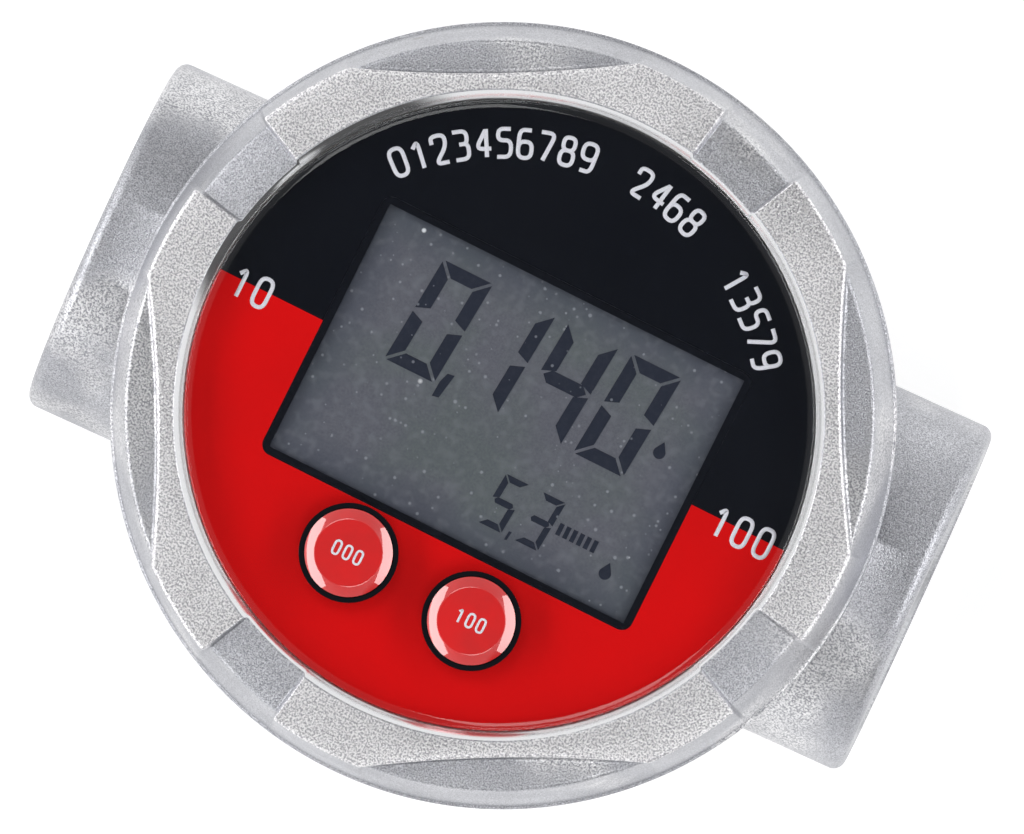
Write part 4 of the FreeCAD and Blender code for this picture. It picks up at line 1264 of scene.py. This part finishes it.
    def quarter(self) -> bpy.types.Mesh:
        """Loft one quarter of the cap, with the attributes "pad" and "turned".

        Returns:
            The open quarter.
        """
        angles = self.angles()
        first, last = 3 * self.corner_points - 1, 3 * self.corner_points + 2
        corners, pads, cuts = [], [], []
        for angle in angles:
            points, turned = self.section(angle)
            corners += [(*turned_by(radius, 0.0, angle + self.clock), height)
                        for radius, height in points]
            share = self.pad_share(angle)
            pads += [share if first <= index <= last else 0.0 for index in range(len(points))]
            cuts += turned
        count = len(corners) // len(angles)
        mesh = make_mesh("cap_quarter", corners, ring_faces(len(angles), count))
        mesh.attributes.new("pad", "FLOAT", "POINT").data.foreach_set("value", pads)
        mesh.attributes.new("turned", "BOOLEAN", "FACE").data.foreach_set("value", cuts[:-count])
        return mesh

    def repeat_group(self) -> bpy.types.NodeTree:
        """Build the node group that sets quarters around Z and gives them their finishes.

        Returns:
            The group.
        """
        inputs = {"Geometry": Plug.GEOMETRY, "Count": QUARTERS,
                  "Skin": Plug.MATERIAL, "Cut": Plug.MATERIAL}
        tree, given, sink = new_group("ring_of_quarters", TreeKind.GEOMETRY, inputs,
                                      {"Geometry": Plug.GEOMETRY})
        points = tree.add("GeometryNodePoints", {"Count": given["Count"]})
        turn = tree.times(tree.add("GeometryNodeInputIndex").outputs[0],
                          tree.math("DIVIDE", math.tau, given["Count"]))
        ring = tree.add("GeometryNodeInstanceOnPoints", {
            "Points": points.outputs[0], "Instance": given["Geometry"],
            "Rotation": tree.add("ShaderNodeCombineXYZ", {"Z": turn}).outputs[0]})
        solid = tree.add("GeometryNodeRealizeInstances", {0: ring.outputs[0]})
        joined = tree.add("GeometryNodeMergeByDistance", {
            "Geometry": solid.outputs[0], "Distance": self.merge_m})
        skin = tree.add("GeometryNodeSetMaterial", {
            "Geometry": joined.outputs[0], "Material": given["Skin"]})
        cut = tree.add("GeometryNodeInputNamedAttribute", {"Name": "turned"}, data_type="BOOLEAN")
        bright = tree.add("GeometryNodeSetMaterial", {
            "Geometry": skin.outputs[0], "Selection": cut.outputs["Attribute"],
            "Material": given["Cut"]})
        tree.join(bright.outputs[0], sink.inputs["Geometry"])
        return tree.tree

    def build(self) -> None:
        """Make the cap and put it in place of its node."""
        values = {"Count": QUARTERS, "Skin": MATERIALS.get("cast_alloy"),
                  "Cut": MATERIALS.get("machined")}
        mesh = bake_nodes("screw_cap_casting", self.quarter(), self.repeat_group(), values)
        mesh.shade_smooth()
        mesh.set_sharp_from_angle(angle=math.radians(self.sharp))
        add_piece("screw_cap_casting", mesh, Body.CAP, ["screw_cap"])


# The body -----------------------------------------------------------------------------------------

@dataclass
class Casting:
    """The body casting: the node's own shape, with the pipe threads cut into both ports."""

    minor_radius: float = 15.15
    depth: float = 1.30
    pitch: float = 2.309
    length: float = 15.5
    start: float = 0.5
    bore_gap: float = 0.05
    crest_gain: float = 1.25
    bore_margin: float = 0.2
    columns: int = 96
    rows_per_pitch: int = 10
    sharp: float = 18.0

    def __post_init__(self) -> None:
        """Take the pipe's axis and its end from the frame."""
        low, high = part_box("inlet_bearing_bush")
        self.axis_z = (high.z + low.z) / 2.0 / MM
        self.end_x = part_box("meter_body")[1].x / MM

    def groove_radius(self, depth: float, angle: float) -> float:
        """Find how wide the thread has cut the bore.

        Args:
            depth: the depth from the mouth.
            angle: the angle round the bore.

        Returns:
            The radius there.
        """
        phase = (depth / self.pitch + angle / 360.0) % 1.0
        ridge = 1.0 - abs(2.0 * phase - 1.0)
        flat = min(max(self.crest_gain * ridge - (self.crest_gain - 1.0) / 2.0, 0.0), 1.0)
        run_out = smooth_step((self.length - depth) / self.pitch)
        mouth = self.minor_radius + self.depth + self.start - max(depth, 0.0)
        groove = self.minor_radius - self.bore_gap + (self.depth + self.bore_gap) * flat * run_out
        return max(groove, mouth)

    def tap(self, side: float) -> bpy.types.Mesh:
        """Make the solid that cuts one port's thread.

        Args:
            side: 1 for the port towards +X, and -1 for the other.

        Returns:
            The closed mesh.
        """
        step = self.pitch / self.rows_per_pitch
        rows = int((self.length + self.start) / step) + 1
        depths = [step * row - self.start for row in range(rows)]
        corners: list[tuple[float, float, float]] = []
        for depth in depths:
            for column in range(self.columns):
                angle = 360.0 * column / self.columns
                y, z = turned_by(self.groove_radius(depth, angle * side), 0.0, angle)
                corners.append((side * (self.end_x - depth), y, self.axis_z + z))
        faces = ring_faces(rows, self.columns)
        for first in (0, len(corners) - self.columns):
            faces.append(tuple(range(first, first + self.columns)))
        return tidy_mesh(make_mesh("thread_tap", corners, faces))

    def build(self) -> None:
        """Cut the threads, give the bores their finish and put the casting in place of its node."""
        body = end_edit("meter_body_copy", edit_copy("meter_body"))
        for side in (1.0, -1.0):
            body = cut_away(body, self.tap(side))
        body.materials.clear()
        for finish in ("cast_alloy", "cut_bore"):
            body.materials.append(MATERIALS.get(finish))
        reach = self.minor_radius + self.depth + self.bore_margin
        for face in body.polygons:
            centre = face.center / MM
            face.material_index = int(math.hypot(centre.y, centre.z - self.axis_z) < reach)
        body.name = "meter_casting"
        tidy_mesh(body, self.sharp)
        add_piece("meter_casting", body, Body.METER, ["meter_body"])


# Print and display --------------------------------------------------------------------------------

GLYPH_WIDTH = 0.8
GLYPH_ROUNDING = 0.30
GLYPH_POINTS = 6
GLYPHS: dict[str, list[list[Point]]] = {
    "0": [[(0.0, 0.0), (0.58, 0.0), (0.58, 1.0), (0.0, 1.0), (0.0, 0.0)]],
    "1": [[(0.10, 0.76), (0.36, 1.0), (0.36, 0.0)]],
    "2": [[(0.0, 0.72), (0.0, 1.0), (0.56, 1.0), (0.56, 0.56), (0.0, 0.0), (0.60, 0.0)]],
    "3": [[(0.0, 1.0), (0.56, 1.0), (0.56, 0.54), (0.22, 0.54)],
          [(0.22, 0.54), (0.60, 0.54), (0.60, 0.0), (0.0, 0.0)]],
    "4": [[(0.46, 0.0), (0.46, 1.0)], [(0.44, 0.97), (0.0, 0.30), (0.66, 0.30)]],
    "5": [[(0.56, 1.0), (0.06, 1.0), (0.04, 0.58), (0.60, 0.60), (0.60, 0.0), (0.0, 0.0)]],
    "6": [[(0.0, 0.0), (0.58, 0.0), (0.58, 0.58), (0.0, 0.58), (0.0, 0.0)],
          [(0.0, 0.30), (0.02, 1.0), (0.50, 1.0)]],
    "7": [[(0.0, 1.0), (0.60, 1.0), (0.20, 0.0)]],
    "8": [[(0.05, 0.53), (0.53, 0.53), (0.53, 1.0), (0.05, 1.0), (0.05, 0.53)],
          [(0.0, 0.0), (0.58, 0.0), (0.58, 0.53), (0.0, 0.53), (0.0, 0.0)]],
    "9": [[(0.0, 0.42), (0.58, 0.42), (0.58, 1.0), (0.0, 1.0), (0.0, 0.42)],
          [(0.58, 0.70), (0.56, 0.0), (0.08, 0.0)]],
}


def number_lines(text: str, height: float, pitch: float) -> list[list[Point]]:
    """Write plain digits as lines with rounded corners, from the left end of the baseline.

    Args:
        text: the digits.
        height: how tall they are.
        pitch: the step from one to the next.

    Returns:
        The lines, each with its first point again at the end where it is closed.
    """
    lines: list[list[Point]] = []
    for place, digit in enumerate(text):
        for stroke in GLYPHS[digit]:
            closed = stroke[0] == stroke[-1]
            ring = stroke[:-1] if closed else stroke
            line: list[Point] = []
            for index, corner in enumerate(ring):
                if not closed and index in (0, len(ring) - 1):
                    line.append(corner)
                else:
                    sides = (ring[index - 1], corner, ring[(index + 1) % len(ring)])
                    line += round_corner(*sides, GLYPH_ROUNDING, GLYPH_POINTS)
            moved = [(place * pitch + GLYPH_WIDTH * x * height, y * height) for x, y in line]
            lines.append(moved + moved[:1] if closed else moved)
    return lines


def line_mesh(name: str, lines: Sequence[Line]) -> bpy.types.Mesh:
    """Join the points of each line by edges, closing a line that ends where it starts.

    Args:
        name: the mesh's name.
        lines: x, y and z of the points of each line.

    Returns:
        The mesh, without faces.
    """
    corners: list[Sequence[float]] = []
    edges: list[tuple[int, int]] = []
    for line in lines:
        closed = tuple(line[0]) == tuple(line[-1])
        points = list(line[:-1] if closed else line)
        first = len(corners)
        corners += points
        edges += [(first + index, first + index + 1) for index in range(len(points) - 1)]
        if closed:
            edges.append((first + len(points) - 1, first))
    return make_mesh(name, corners, [], edges)


@dataclass
class Printing:
    """White numbers, swept as thin ribbons of ink on a few levels, so that crossings stay clean."""

    thickness: float = 0.006
    layer: float = 0.004
    layers: int = 3

    def __post_init__(self) -> None:
        """Build the node group that sweeps a flat ribbon along every line of a mesh."""
        inputs = {"Geometry": Plug.GEOMETRY, "Width": 0.5 * MM, "Thickness": 0.01 * MM,
                  "Ink": Plug.MATERIAL}
        tree, given, sink = new_group("ribbon_along_lines", TreeKind.GEOMETRY, inputs,
                                      {"Geometry": Plug.GEOMETRY})
        lines = tree.add("GeometryNodeMeshToCurve", {0: given["Geometry"]})
        upright = tree.add("GeometryNodeSetCurveNormal", {0: lines.outputs[0]}, mode="Z_UP")
        ribbon = tree.add("GeometryNodeCurvePrimitiveQuadrilateral", {
            "Width": given["Width"], "Height": given["Thickness"]})
        swept = tree.add("GeometryNodeCurveToMesh", {
            "Curve": upright.outputs[0], "Profile Curve": ribbon.outputs[0], "Fill Caps": True})
        solid = tree.add("GeometryNodeRealizeInstances", {0: swept.outputs[0]})
        inked = tree.add("GeometryNodeSetMaterial", {
            "Geometry": solid.outputs[0], "Material": given["Ink"]})
        tree.join(inked.outputs[0], sink.inputs["Geometry"])
        self.group = tree.tree

    def add(self, name: str, lines: Sequence[Line], width: float, body: Body) -> None:
        """Print lines.

        Args:
            name: the piece's name.
            lines: x, y and z of the points of each line, in the meter's place.
            width: the width of the ink.
            body: the body that carries it.
        """
        values = {"Width": width * MM, "Thickness": self.thickness * MM,
                  "Ink": MATERIALS.get("white_ink")}
        layered = []
        for index, line in enumerate(lines):
            lift = self.layer * (index % self.layers - self.layers // 2)
            layered.append([(x, y, z + lift) for x, y, z in line])
        mesh = bake_nodes(name, line_mesh(name, layered), self.group, values)
        add_piece(name, mesh, body)


@dataclass
class FaceMarks:
    """The print under the lens: three groups of numbers round the rim, and one at each side."""

    printing: Printing
    base_radius: float = 29.5
    height: float = 3.2
    pitch: float = 2.33
    width: float = 0.48
    arcs: tuple[tuple[str, float], ...] = (("0123456789", 137.6), ("2468", 84.4), ("13579", 55.6))
    side_height: float = 3.4
    side_pitch: float = 2.75
    side_base: float = -1.3
    sides: tuple[tuple[str, float], ...] = (("10", -34.0), ("100", 27.2))

    def build(self) -> None:
        """Print the marks between the film and the lens."""
        level = 0.5 * (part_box("face_label")[1].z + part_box("face_lens")[0].z) / MM
        lines: list[Line] = []
        for text, start in self.arcs:
            for line in number_lines(text, self.height, self.pitch):
                polar = [(self.base_radius + out, start - math.degrees(along / self.base_radius))
                         for along, out in line]
                lines.append([(*turned_by(radius, 0.0, angle), level) for radius, angle in polar])
        for text, left in self.sides:
            for line in number_lines(text, self.side_height, self.side_pitch):
                lines.append([(*turned_by(left + x, self.side_base + y, MODULE_TURN), level)
                              for x, y in line])
        self.printing.add("face_numbers", lines, self.width, Body.METER)


@dataclass(frozen=True)
class DigitSize:
    """The size of a seven-bar digit, and the gap between its bars as a share of its height."""

    width: float
    height: float
    bar: float
    gap_share: float = 0.25 / 13.1

    @property
    def gap(self) -> float:
        """The gap between bars."""
        return self.gap_share * self.height


@dataclass
class Display:
    """The dark crystal segments of the display, on top of its glass."""

    slant: float = 4.5
    thickness: float = 0.04
    lift: float = 0.004
    tip_share: float = 0.62
    notch_share: float = 0.4
    tip_gap: float = 0.2
    # The main digits, the small digits, and the outlines of the two decimal marks.
    main: DigitSize = DigitSize(6.33, 13.1, 1.6)
    main_digits: str = "0140"
    main_start: Point = (-14.71, -0.05)
    main_pitch: float = 8.03
    small: DigitSize = DigitSize(3.0, 6.35, 0.74)
    small_digits: tuple[tuple[str, float], ...] = (("5", 3.15), ("3", 7.77))
    small_base: float = -11.95
    decimal_marks: tuple[tuple[Point, ...], ...] = (
        ((-7.45, 1.59), (-6.6, 1.75), (-7.15, -1.3), (-7.95, -1.45), (-7.85, 0.4)),
        ((6.85, -11.35), (7.2, -11.3), (7.05, -12.4), (6.75, -12.45)))
    # The row of dashes, and the drops, whose height is a number of radii.
    dash_count: int = 6
    dash_start: Point = (11.7, -9.3)
    dash_pitch: float = 0.87
    dash_size: Point = (0.55, 1.45)
    drops: tuple[Point, ...] = ((18.2, 3.6), (18.8, -11.5))
    drop_radius: float = 0.72
    drop_arc: tuple[int, int, int] = (-200, 21, 20)
    drop_rise: float = 2.9
    lit: dict[str, str] = field(default_factory=lambda: {
        "0": "abcdef", "1": "bc", "3": "abcdg", "4": "bcfg", "5": "acdfg"})

    def bars(self, size: DigitSize) -> dict[str, list[Point]]:
        """Shape the seven bars of a digit.

        Args:
            size: the digit's size.

        Returns:
            The outline of each bar by its letter.
        """
        width, height, thick, gap = size.width, size.height, size.bar, size.gap
        half, tip, notch = height / 2.0, self.tip_share * thick + gap, self.notch_share * thick
        top = [(gap, height), (width - gap, height), (width - thick - gap, height - thick),
               (thick + gap, height - thick)]
        upper = [(0.0, height - gap), (0.0, half + gap), (thick, half + gap + notch),
                 (thick, height - thick - gap)]
        above, below = half + thick / 2.0, half - thick / 2.0
        middle = [(gap + self.tip_gap, half), (tip, above), (width - tip, above),
                  (width - gap - self.tip_gap, half), (width - tip, below), (tip, below)]
        lower = [(x, height - y) for x, y in upper]
        return {"a": top, "b": [(width - x, y) for x, y in upper],
                "c": [(width - x, y) for x, y in lower], "d": [(x, height - y) for x, y in top],
                "e": lower, "f": upper, "g": middle}

    def digit(self, shown: str, start: Point, size: DigitSize) -> list[list[Point]]:
        """Shape the lit bars of one digit in the module's place.

        Args:
            shown: the digit.
            start: the left end of its baseline.
            size: the digit's size.

        Returns:
            The outline of each lit bar.
        """
        bars = self.bars(size)
        lean = math.tan(math.radians(self.slant))
        return [[(start[0] + x + lean * y, start[1] + y) for x, y in bars[name]]
                for name in self.lit[shown]]

    def drop(self, foot: Point) -> list[Point]:
        """Shape a small filled drop that stands on its round end.

        Args:
            foot: the lowest point of the round end.

        Returns:
            The outline.
        """
        x, y = foot
        round_end = [turned_by(self.drop_radius, 0.0, angle) for angle in range(*self.drop_arc)]
        outline = [(x + px, y + self.drop_radius + py) for px, py in round_end]
        return outline + [(x, y + self.drop_rise * self.drop_radius)]

    def dash(self, step: int) -> list[Point]:
        """Shape one of the small upright dashes.

        Args:
            step: its number from the left.

        Returns:
            The outline.
        """
        left, low = self.dash_start[0] + self.dash_pitch * step, self.dash_start[1]
        right, high = left + self.dash_size[0], low + self.dash_size[1]
        return [(left, low), (right, low), (right, high), (left, high)]

    def build(self) -> None:
        """Lay the segments on the glass."""
        outlines: list[Sequence[Point]] = []
        for place, shown in enumerate(self.main_digits):
            start = (self.main_start[0] + self.main_pitch * place, self.main_start[1])
            outlines += self.digit(shown, start, self.main)
        for shown, left in self.small_digits:
            outlines += self.digit(shown, (left, self.small_base), self.small)
        outlines += self.decimal_marks
        outlines += [self.dash(step) for step in range(self.dash_count)]
        outlines += [self.drop(foot) for foot in self.drops]
        placed = [[turned_by(x, y, MODULE_TURN) for x, y in outline] for outline in outlines]
        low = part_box("lcd_glass")[1].z / MM + self.lift
        mesh = prisms("display_segments", placed, low, low + self.thickness)
        mesh.materials.append(MATERIALS.get("dark_segment"))
        add_piece("display_segments", mesh, Body.METER)


@dataclass
class Button:
    """A resin key: a shallow dome with a soft shoulder, numbered, on its own moving body."""

    printing: Printing
    node: str
    body: Body
    text: str
    dome_steps: int = 84
    flat_radius: float = 3.9
    flat_tilt: float = 2.5
    turn_width: float = 0.12
    slope_tilt: float = 27.0
    edge_tilt: float = 34.5
    mark_height: float = 1.6
    mark_pitch: float = 1.35
    mark_end: float = 0.58
    mark_width: float = 0.27
    mark_lift: float = 0.008

    def section(self, radius: float, low: float, high: float) -> list[Point]:
        """Work out the dome by adding up its slope from the middle.

        Args:
            radius: the key's radius.
            low: the height of its underside.
            high: the height of its crown.

        Returns:
            The section from the underside's middle to the crown.
        """
        dome: list[Point] = [(0.0, high)]
        for step in range(1, self.dome_steps + 1):
            reach = radius * step / self.dome_steps
            share = (reach - self.flat_radius) / (radius - self.flat_radius)
            slope = self.slope_tilt + (self.edge_tilt - self.slope_tilt) * max(share, 0.0)
            top = self.flat_tilt * reach / self.flat_radius
            turn = smooth_step((reach - self.flat_radius) / self.turn_width + 0.5)
            fall = radius / self.dome_steps * math.tan(math.radians(top + (slope - top) * turn))
            dome.append((reach, dome[-1][1] - fall))
        return [(0.0, low), (radius, low)] + dome[::-1]

    def build(self) -> None:
        """Make the key and its number."""
        low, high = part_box(self.node)
        centre = ((low.x + high.x) / 2.0 / MM, (low.y + high.y) / 2.0 / MM)
        radius = (high.x - low.x) / 2.0 / MM
        mesh = lathe(self.node + "_resin", self.section(radius, low.z / MM, high.z / MM), centre)
        mesh.materials.append(MATERIALS.get("red_gloss"))
        add_piece(self.node + "_resin", mesh, self.body, [self.node])
        shift = 0.5 * (self.mark_pitch * (len(self.text) - 1) + self.mark_end * self.mark_height)
        curve = math.tan(math.radians(self.flat_tilt)) / (2.0 * self.flat_radius)
        lines: list[Line] = []
        for line in number_lines(self.text, self.mark_height, self.mark_pitch):
            placed = []
            for along, out in line:
                x, y = turned_by(along - shift, out - 0.5 * self.mark_height, MODULE_TURN)
                level = high.z / MM - curve * (x * x + y * y) + self.mark_lift
                placed.append((centre[0] + x, centre[1] + y, level))
            lines.append(placed)
        self.printing.add(self.node + "_number", lines, self.mark_width, self.body)


@dataclass
class Lens:
    """The clear lens with its upper edge rounded off, and the button holes left as they are."""

    rounding: float = 0.7
    segments: int = 8
    profile: float = 0.5
    crown_depth: float = 0.01
    rim_width: float = 0.05
    flat_limit: float = 0.9999
    sharp: float = 30.0

    def build(self) -> None:
        """Copy the node's shape, round its edge and put it in place of the node."""
        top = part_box("face_lens")[1].z / MM
        work = edit_copy("face_lens")
        crown = {vert: math.hypot(vert.co.x, vert.co.y) for vert in work.verts
                 if vert.co.z / MM > top - self.crown_depth}
        reach = max(crown.values()) - self.rim_width * MM
        rim = [edge for edge in work.edges
               if all(crown.get(vert, 0.0) > reach for vert in edge.verts)]
        bmesh.ops.bevel(work, geom=rim, offset=self.rounding * MM, segments=self.segments,
                        profile=self.profile, affect="EDGES")
        work.normal_update()
        for face in work.faces:
            face.smooth = True
        for edge in work.edges:
            levels = [abs(face.normal.z) > self.flat_limit for face in edge.link_faces]
            turn = edge.calc_face_angle(math.pi)
            edge.smooth = all(levels) or (not any(levels) and turn < math.radians(self.sharp))
        mesh = end_edit("rounded_lens", work)
        mesh.materials.clear()
        mesh.materials.append(MATERIALS.get("clear_lens"))
        add_piece("rounded_lens", mesh, Body.METER, ["face_lens"])


# The nodes that keep their own shape --------------------------------------------------------------

OWN_FINISH = {"lcd_frame": "frame_print"}


def dress_nodes() -> None:
    """Give every node of the frame the finish of its material slot, or its own."""
    for part in frame["record"]["subparts"]:
        node = frame["nodes"][part["node"]]
        material = MATERIALS.get(OWN_FINISH.get(part["node"], part["material_slot"]))
        for slot in node.material_slots:
            slot.material = material
    LOG.info("dressed %d nodes", len(frame["nodes"]))


# The studio ---------------------------------------------------------------------------------------

def as_seen(right: float, up: float, above: float) -> Vector:
    """Turn a place or direction given as the camera sees it into one about the meter."""
    return Vector((*turned_by(right, up, PICTURE_TURN), above))


@dataclass(frozen=True)
class Softbox:
    """A flat studio lamp, placed as the camera sees it."""

    name: str
    right_m: float
    up_m: float
    above_m: float
    width_m: float
    height_m: float
    watts: float

    def build(self, aim: Vector) -> None:
        """Hang the lamp.

        Args:
            aim: the point that it faces.
        """
        data = bpy.data.lights.new(self.name, "AREA")
        data.shape = "RECTANGLE"
        data.size, data.size_y = self.width_m, self.height_m
        data.energy = self.watts
        lamp = link_object(self.name, data)
        lamp.location = as_seen(self.right_m, self.up_m, self.above_m)
        lamp.rotation_euler = (lamp.location - aim).to_track_quat("Z", "Y").to_euler()


@dataclass(frozen=True)
class Room:
    """The room round the meter: plain white behind it, and a graded grey in its reflections.

    Each range holds the level at which a change starts and the level at which it ends. A level is a
    direction's height, from 0 at the horizon to 1 overhead, or its closeness to a given direction.
    """

    plain_light: float = 0.24
    wall_range: Range = (0.15, 0.80)
    wall_tones: Range = (0.88, 0.42)
    zenith_range: Range = (0.90, 0.97)
    zenith_tones: Range = (1.0, 0.06)
    curtain_side: Range = (0.35, 0.60)
    curtain_height: Range = (0.25, 0.40)
    curtain_share: float = 0.35
    flag: Point = (0.62, -0.78)
    flag_range: Range = (0.84, 0.90)
    flag_tones: Range = (1.0, 0.10)
    slit: Point = (0.616, -0.788)
    slit_range: Range = (0.9945, 0.997)

    def reflected(self, tree: Tree) -> Socket:
        """Shade the room as metal and plastic mirror it.

        Args:
            tree: the world's tree.

        Returns:
            The tone's socket.
        """
        place = tree.add("ShaderNodeTexCoord").outputs[Coord.SKY.value]

        def closeness(right: float, up: float) -> Socket:
            """Measure how close the ray is to a level direction as the camera sees it."""
            sides = {0: place, 1: as_seen(right, up, 0.0)}
            return tree.add("ShaderNodeVectorMath", sides, operation="DOT_PRODUCT").outputs["Value"]

        level = tree.add("ShaderNodeSeparateXYZ", {0: place}).outputs[2]
        flag = tree.ramp(closeness(*self.flag), *self.flag_range, *self.flag_tones)
        shade = tree.largest(flag, tree.ramp(closeness(*self.slit), *self.slit_range))
        beside = tree.ramp(tree.math("ABSOLUTE", closeness(0.0, 1.0)), *self.curtain_side)
        curtain = tree.times(beside, tree.ramp(level, *self.curtain_height))
        ceiling = tree.times(tree.ramp(level, *self.wall_range, *self.wall_tones),
                             tree.ramp(level, *self.zenith_range, *self.zenith_tones))
        open_wall = tree.rest_of(tree.times(curtain, self.curtain_share))
        return tree.times(shade, tree.times(ceiling, open_wall))

    def build(self) -> None:
        """Set up the world."""
        world = bpy.data.worlds.new("studio")
        bpy.context.scene.world = world
        world.use_nodes = True
        tree = Tree(world.node_tree)
        background = world.node_tree.nodes["Background"]
        path = tree.add("ShaderNodeLightPath").outputs
        depth = tree.math("ADD", path["Glossy Depth"], path["Diffuse Depth"])
        bounced = tree.math("GREATER_THAN", depth, 0.5)
        through = path["Is Transmission Ray"]
        clear = tree.largest(path["Is Camera Ray"], tree.times(through, tree.rest_of(bounced)))
        glossy = tree.largest(path["Is Glossy Ray"], tree.times(through, bounced))
        mirror = tree.times(glossy, self.reflected(tree))
        plain = tree.times(tree.rest_of(glossy), self.plain_light)
        strength = tree.largest(tree.math("ADD", mirror, plain), clear)
        tree.join(strength, background.inputs["Strength"])
        background.inputs["Color"].default_value = rgba((1.0, 1.0, 1.0))


@dataclass(frozen=True)
class Floor:
    """The pale floor, which keeps the meter's shadow."""

    half_m: float = 3.0
    gap: float = 0.15
    tone: float = 0.6
    roughness: float = 0.9
    glow: float = 0.62

    def material(self) -> bpy.types.Material:
        """Build the paint, which glows only where it is seen or mirrored.

        Returns:
            The material.
        """
        paint = Surface("pale_floor")
        paint.set_plain(Roughness=self.roughness, Specular_IOR_Level=0.0)
        paint.shader.inputs["Base Color"].default_value = rgba((self.tone,) * 3)
        path = paint.add("ShaderNodeLightPath").outputs
        seen = paint.largest(path["Is Camera Ray"], path["Is Transmission Ray"])
        seen = paint.largest(seen, path["Is Glossy Ray"])
        glow = paint.add("ShaderNodeEmission", {"Strength": paint.times(seen, self.glow)})
        both = paint.add("ShaderNodeAddShader", {0: paint.shader.outputs[0], 1: glow.outputs[0]})
        paint.join(both.outputs[0], paint.tree.nodes["Material Output"].inputs[0])
        return paint.material

    def build(self) -> None:
        """Lay the floor under the meter."""
        half = self.half_m / MM
        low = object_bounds()[0].z / MM - self.gap
        corners = [(-half, -half, low), (half, -half, low), (half, half, low), (-half, half, low)]
        mesh = make_mesh("floor", corners, [(0, 1, 2, 3)])
        mesh.materials.append(self.material())
        floor = link_object("floor", mesh)
        floor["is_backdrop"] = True


@dataclass(frozen=True)
class Studio:
    """A pale floor, a room, four softboxes, and a camera above the face."""

    camera_azimuth: float = 20.0
    camera_elevation: float = 88.06
    camera_distance_m: float = 3.6
    aim: tuple[float, float, float] = (1.48, -0.19, 59.46)
    view_width: float = 116.76
    sensor: float = 36.0
    clip_end_m: float = 100.0
    softboxes: tuple[Softbox, ...] = (
        Softbox("rear_overhead", -0.20, 0.58, 1.1, 0.50, 0.50, 2.2),
        Softbox("front_overhead", 0.10, -0.58, 1.1, 0.50, 0.50, 2.4),
        Softbox("left", -0.85, 0.0, 0.55, 2.10, 0.30, 8.0),
        Softbox("right", 0.85, -0.10, 0.55, 1.60, 0.30, 5.6))

    def camera(self) -> None:
        """Set the camera above the face."""
        data = bpy.data.cameras.new("camera")
        data.sensor_width = self.sensor
        data.lens = self.sensor * self.camera_distance_m / (self.view_width * MM)
        data.clip_end = self.clip_end_m
        camera = link_object("camera", data)
        elevation = math.radians(self.camera_elevation)
        flat = turned_by(math.cos(elevation), 0.0, self.camera_azimuth)
        back = Vector((*flat, math.sin(elevation)))
        side = as_seen(0.0, 1.0, 0.0).cross(back).normalized()
        turn = Matrix((side, back.cross(side), back)).transposed().to_4x4()
        place = as_seen(*self.aim) * MM + back * self.camera_distance_m
        camera.matrix_world = Matrix.Translation(place) @ turn
        bpy.context.scene.camera = camera

    def build(self) -> None:
        """Set up the whole studio."""
        Floor().build()
        Room().build()
        for softbox in self.softboxes:
            softbox.build(Vector((0.0, 0.0, self.aim[2] * MM)))
        self.camera()
        bpy.context.scene.view_settings.view_transform = "Standard"


def write_sizes() -> None:
    """Bring the view layer up to date."""
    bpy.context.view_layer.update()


def main() -> None:
    """Dress the meter and set up the studio."""
    logging.basicConfig(level=logging.INFO, format="%(name)s: %(message)s")
    Studio().build()
    dress_nodes()
    printing = Printing()
    for builder in (Casting(), ScrewCap(), Lens(), Display(), FaceMarks(printing),
                    Button(printing, "reset_button", Body.RESET, "000"),
                    Button(printing, "cal_button", Body.CAL, "100")):
        builder.build()
    write_sizes()


if __name__ == "__main__":
    main()
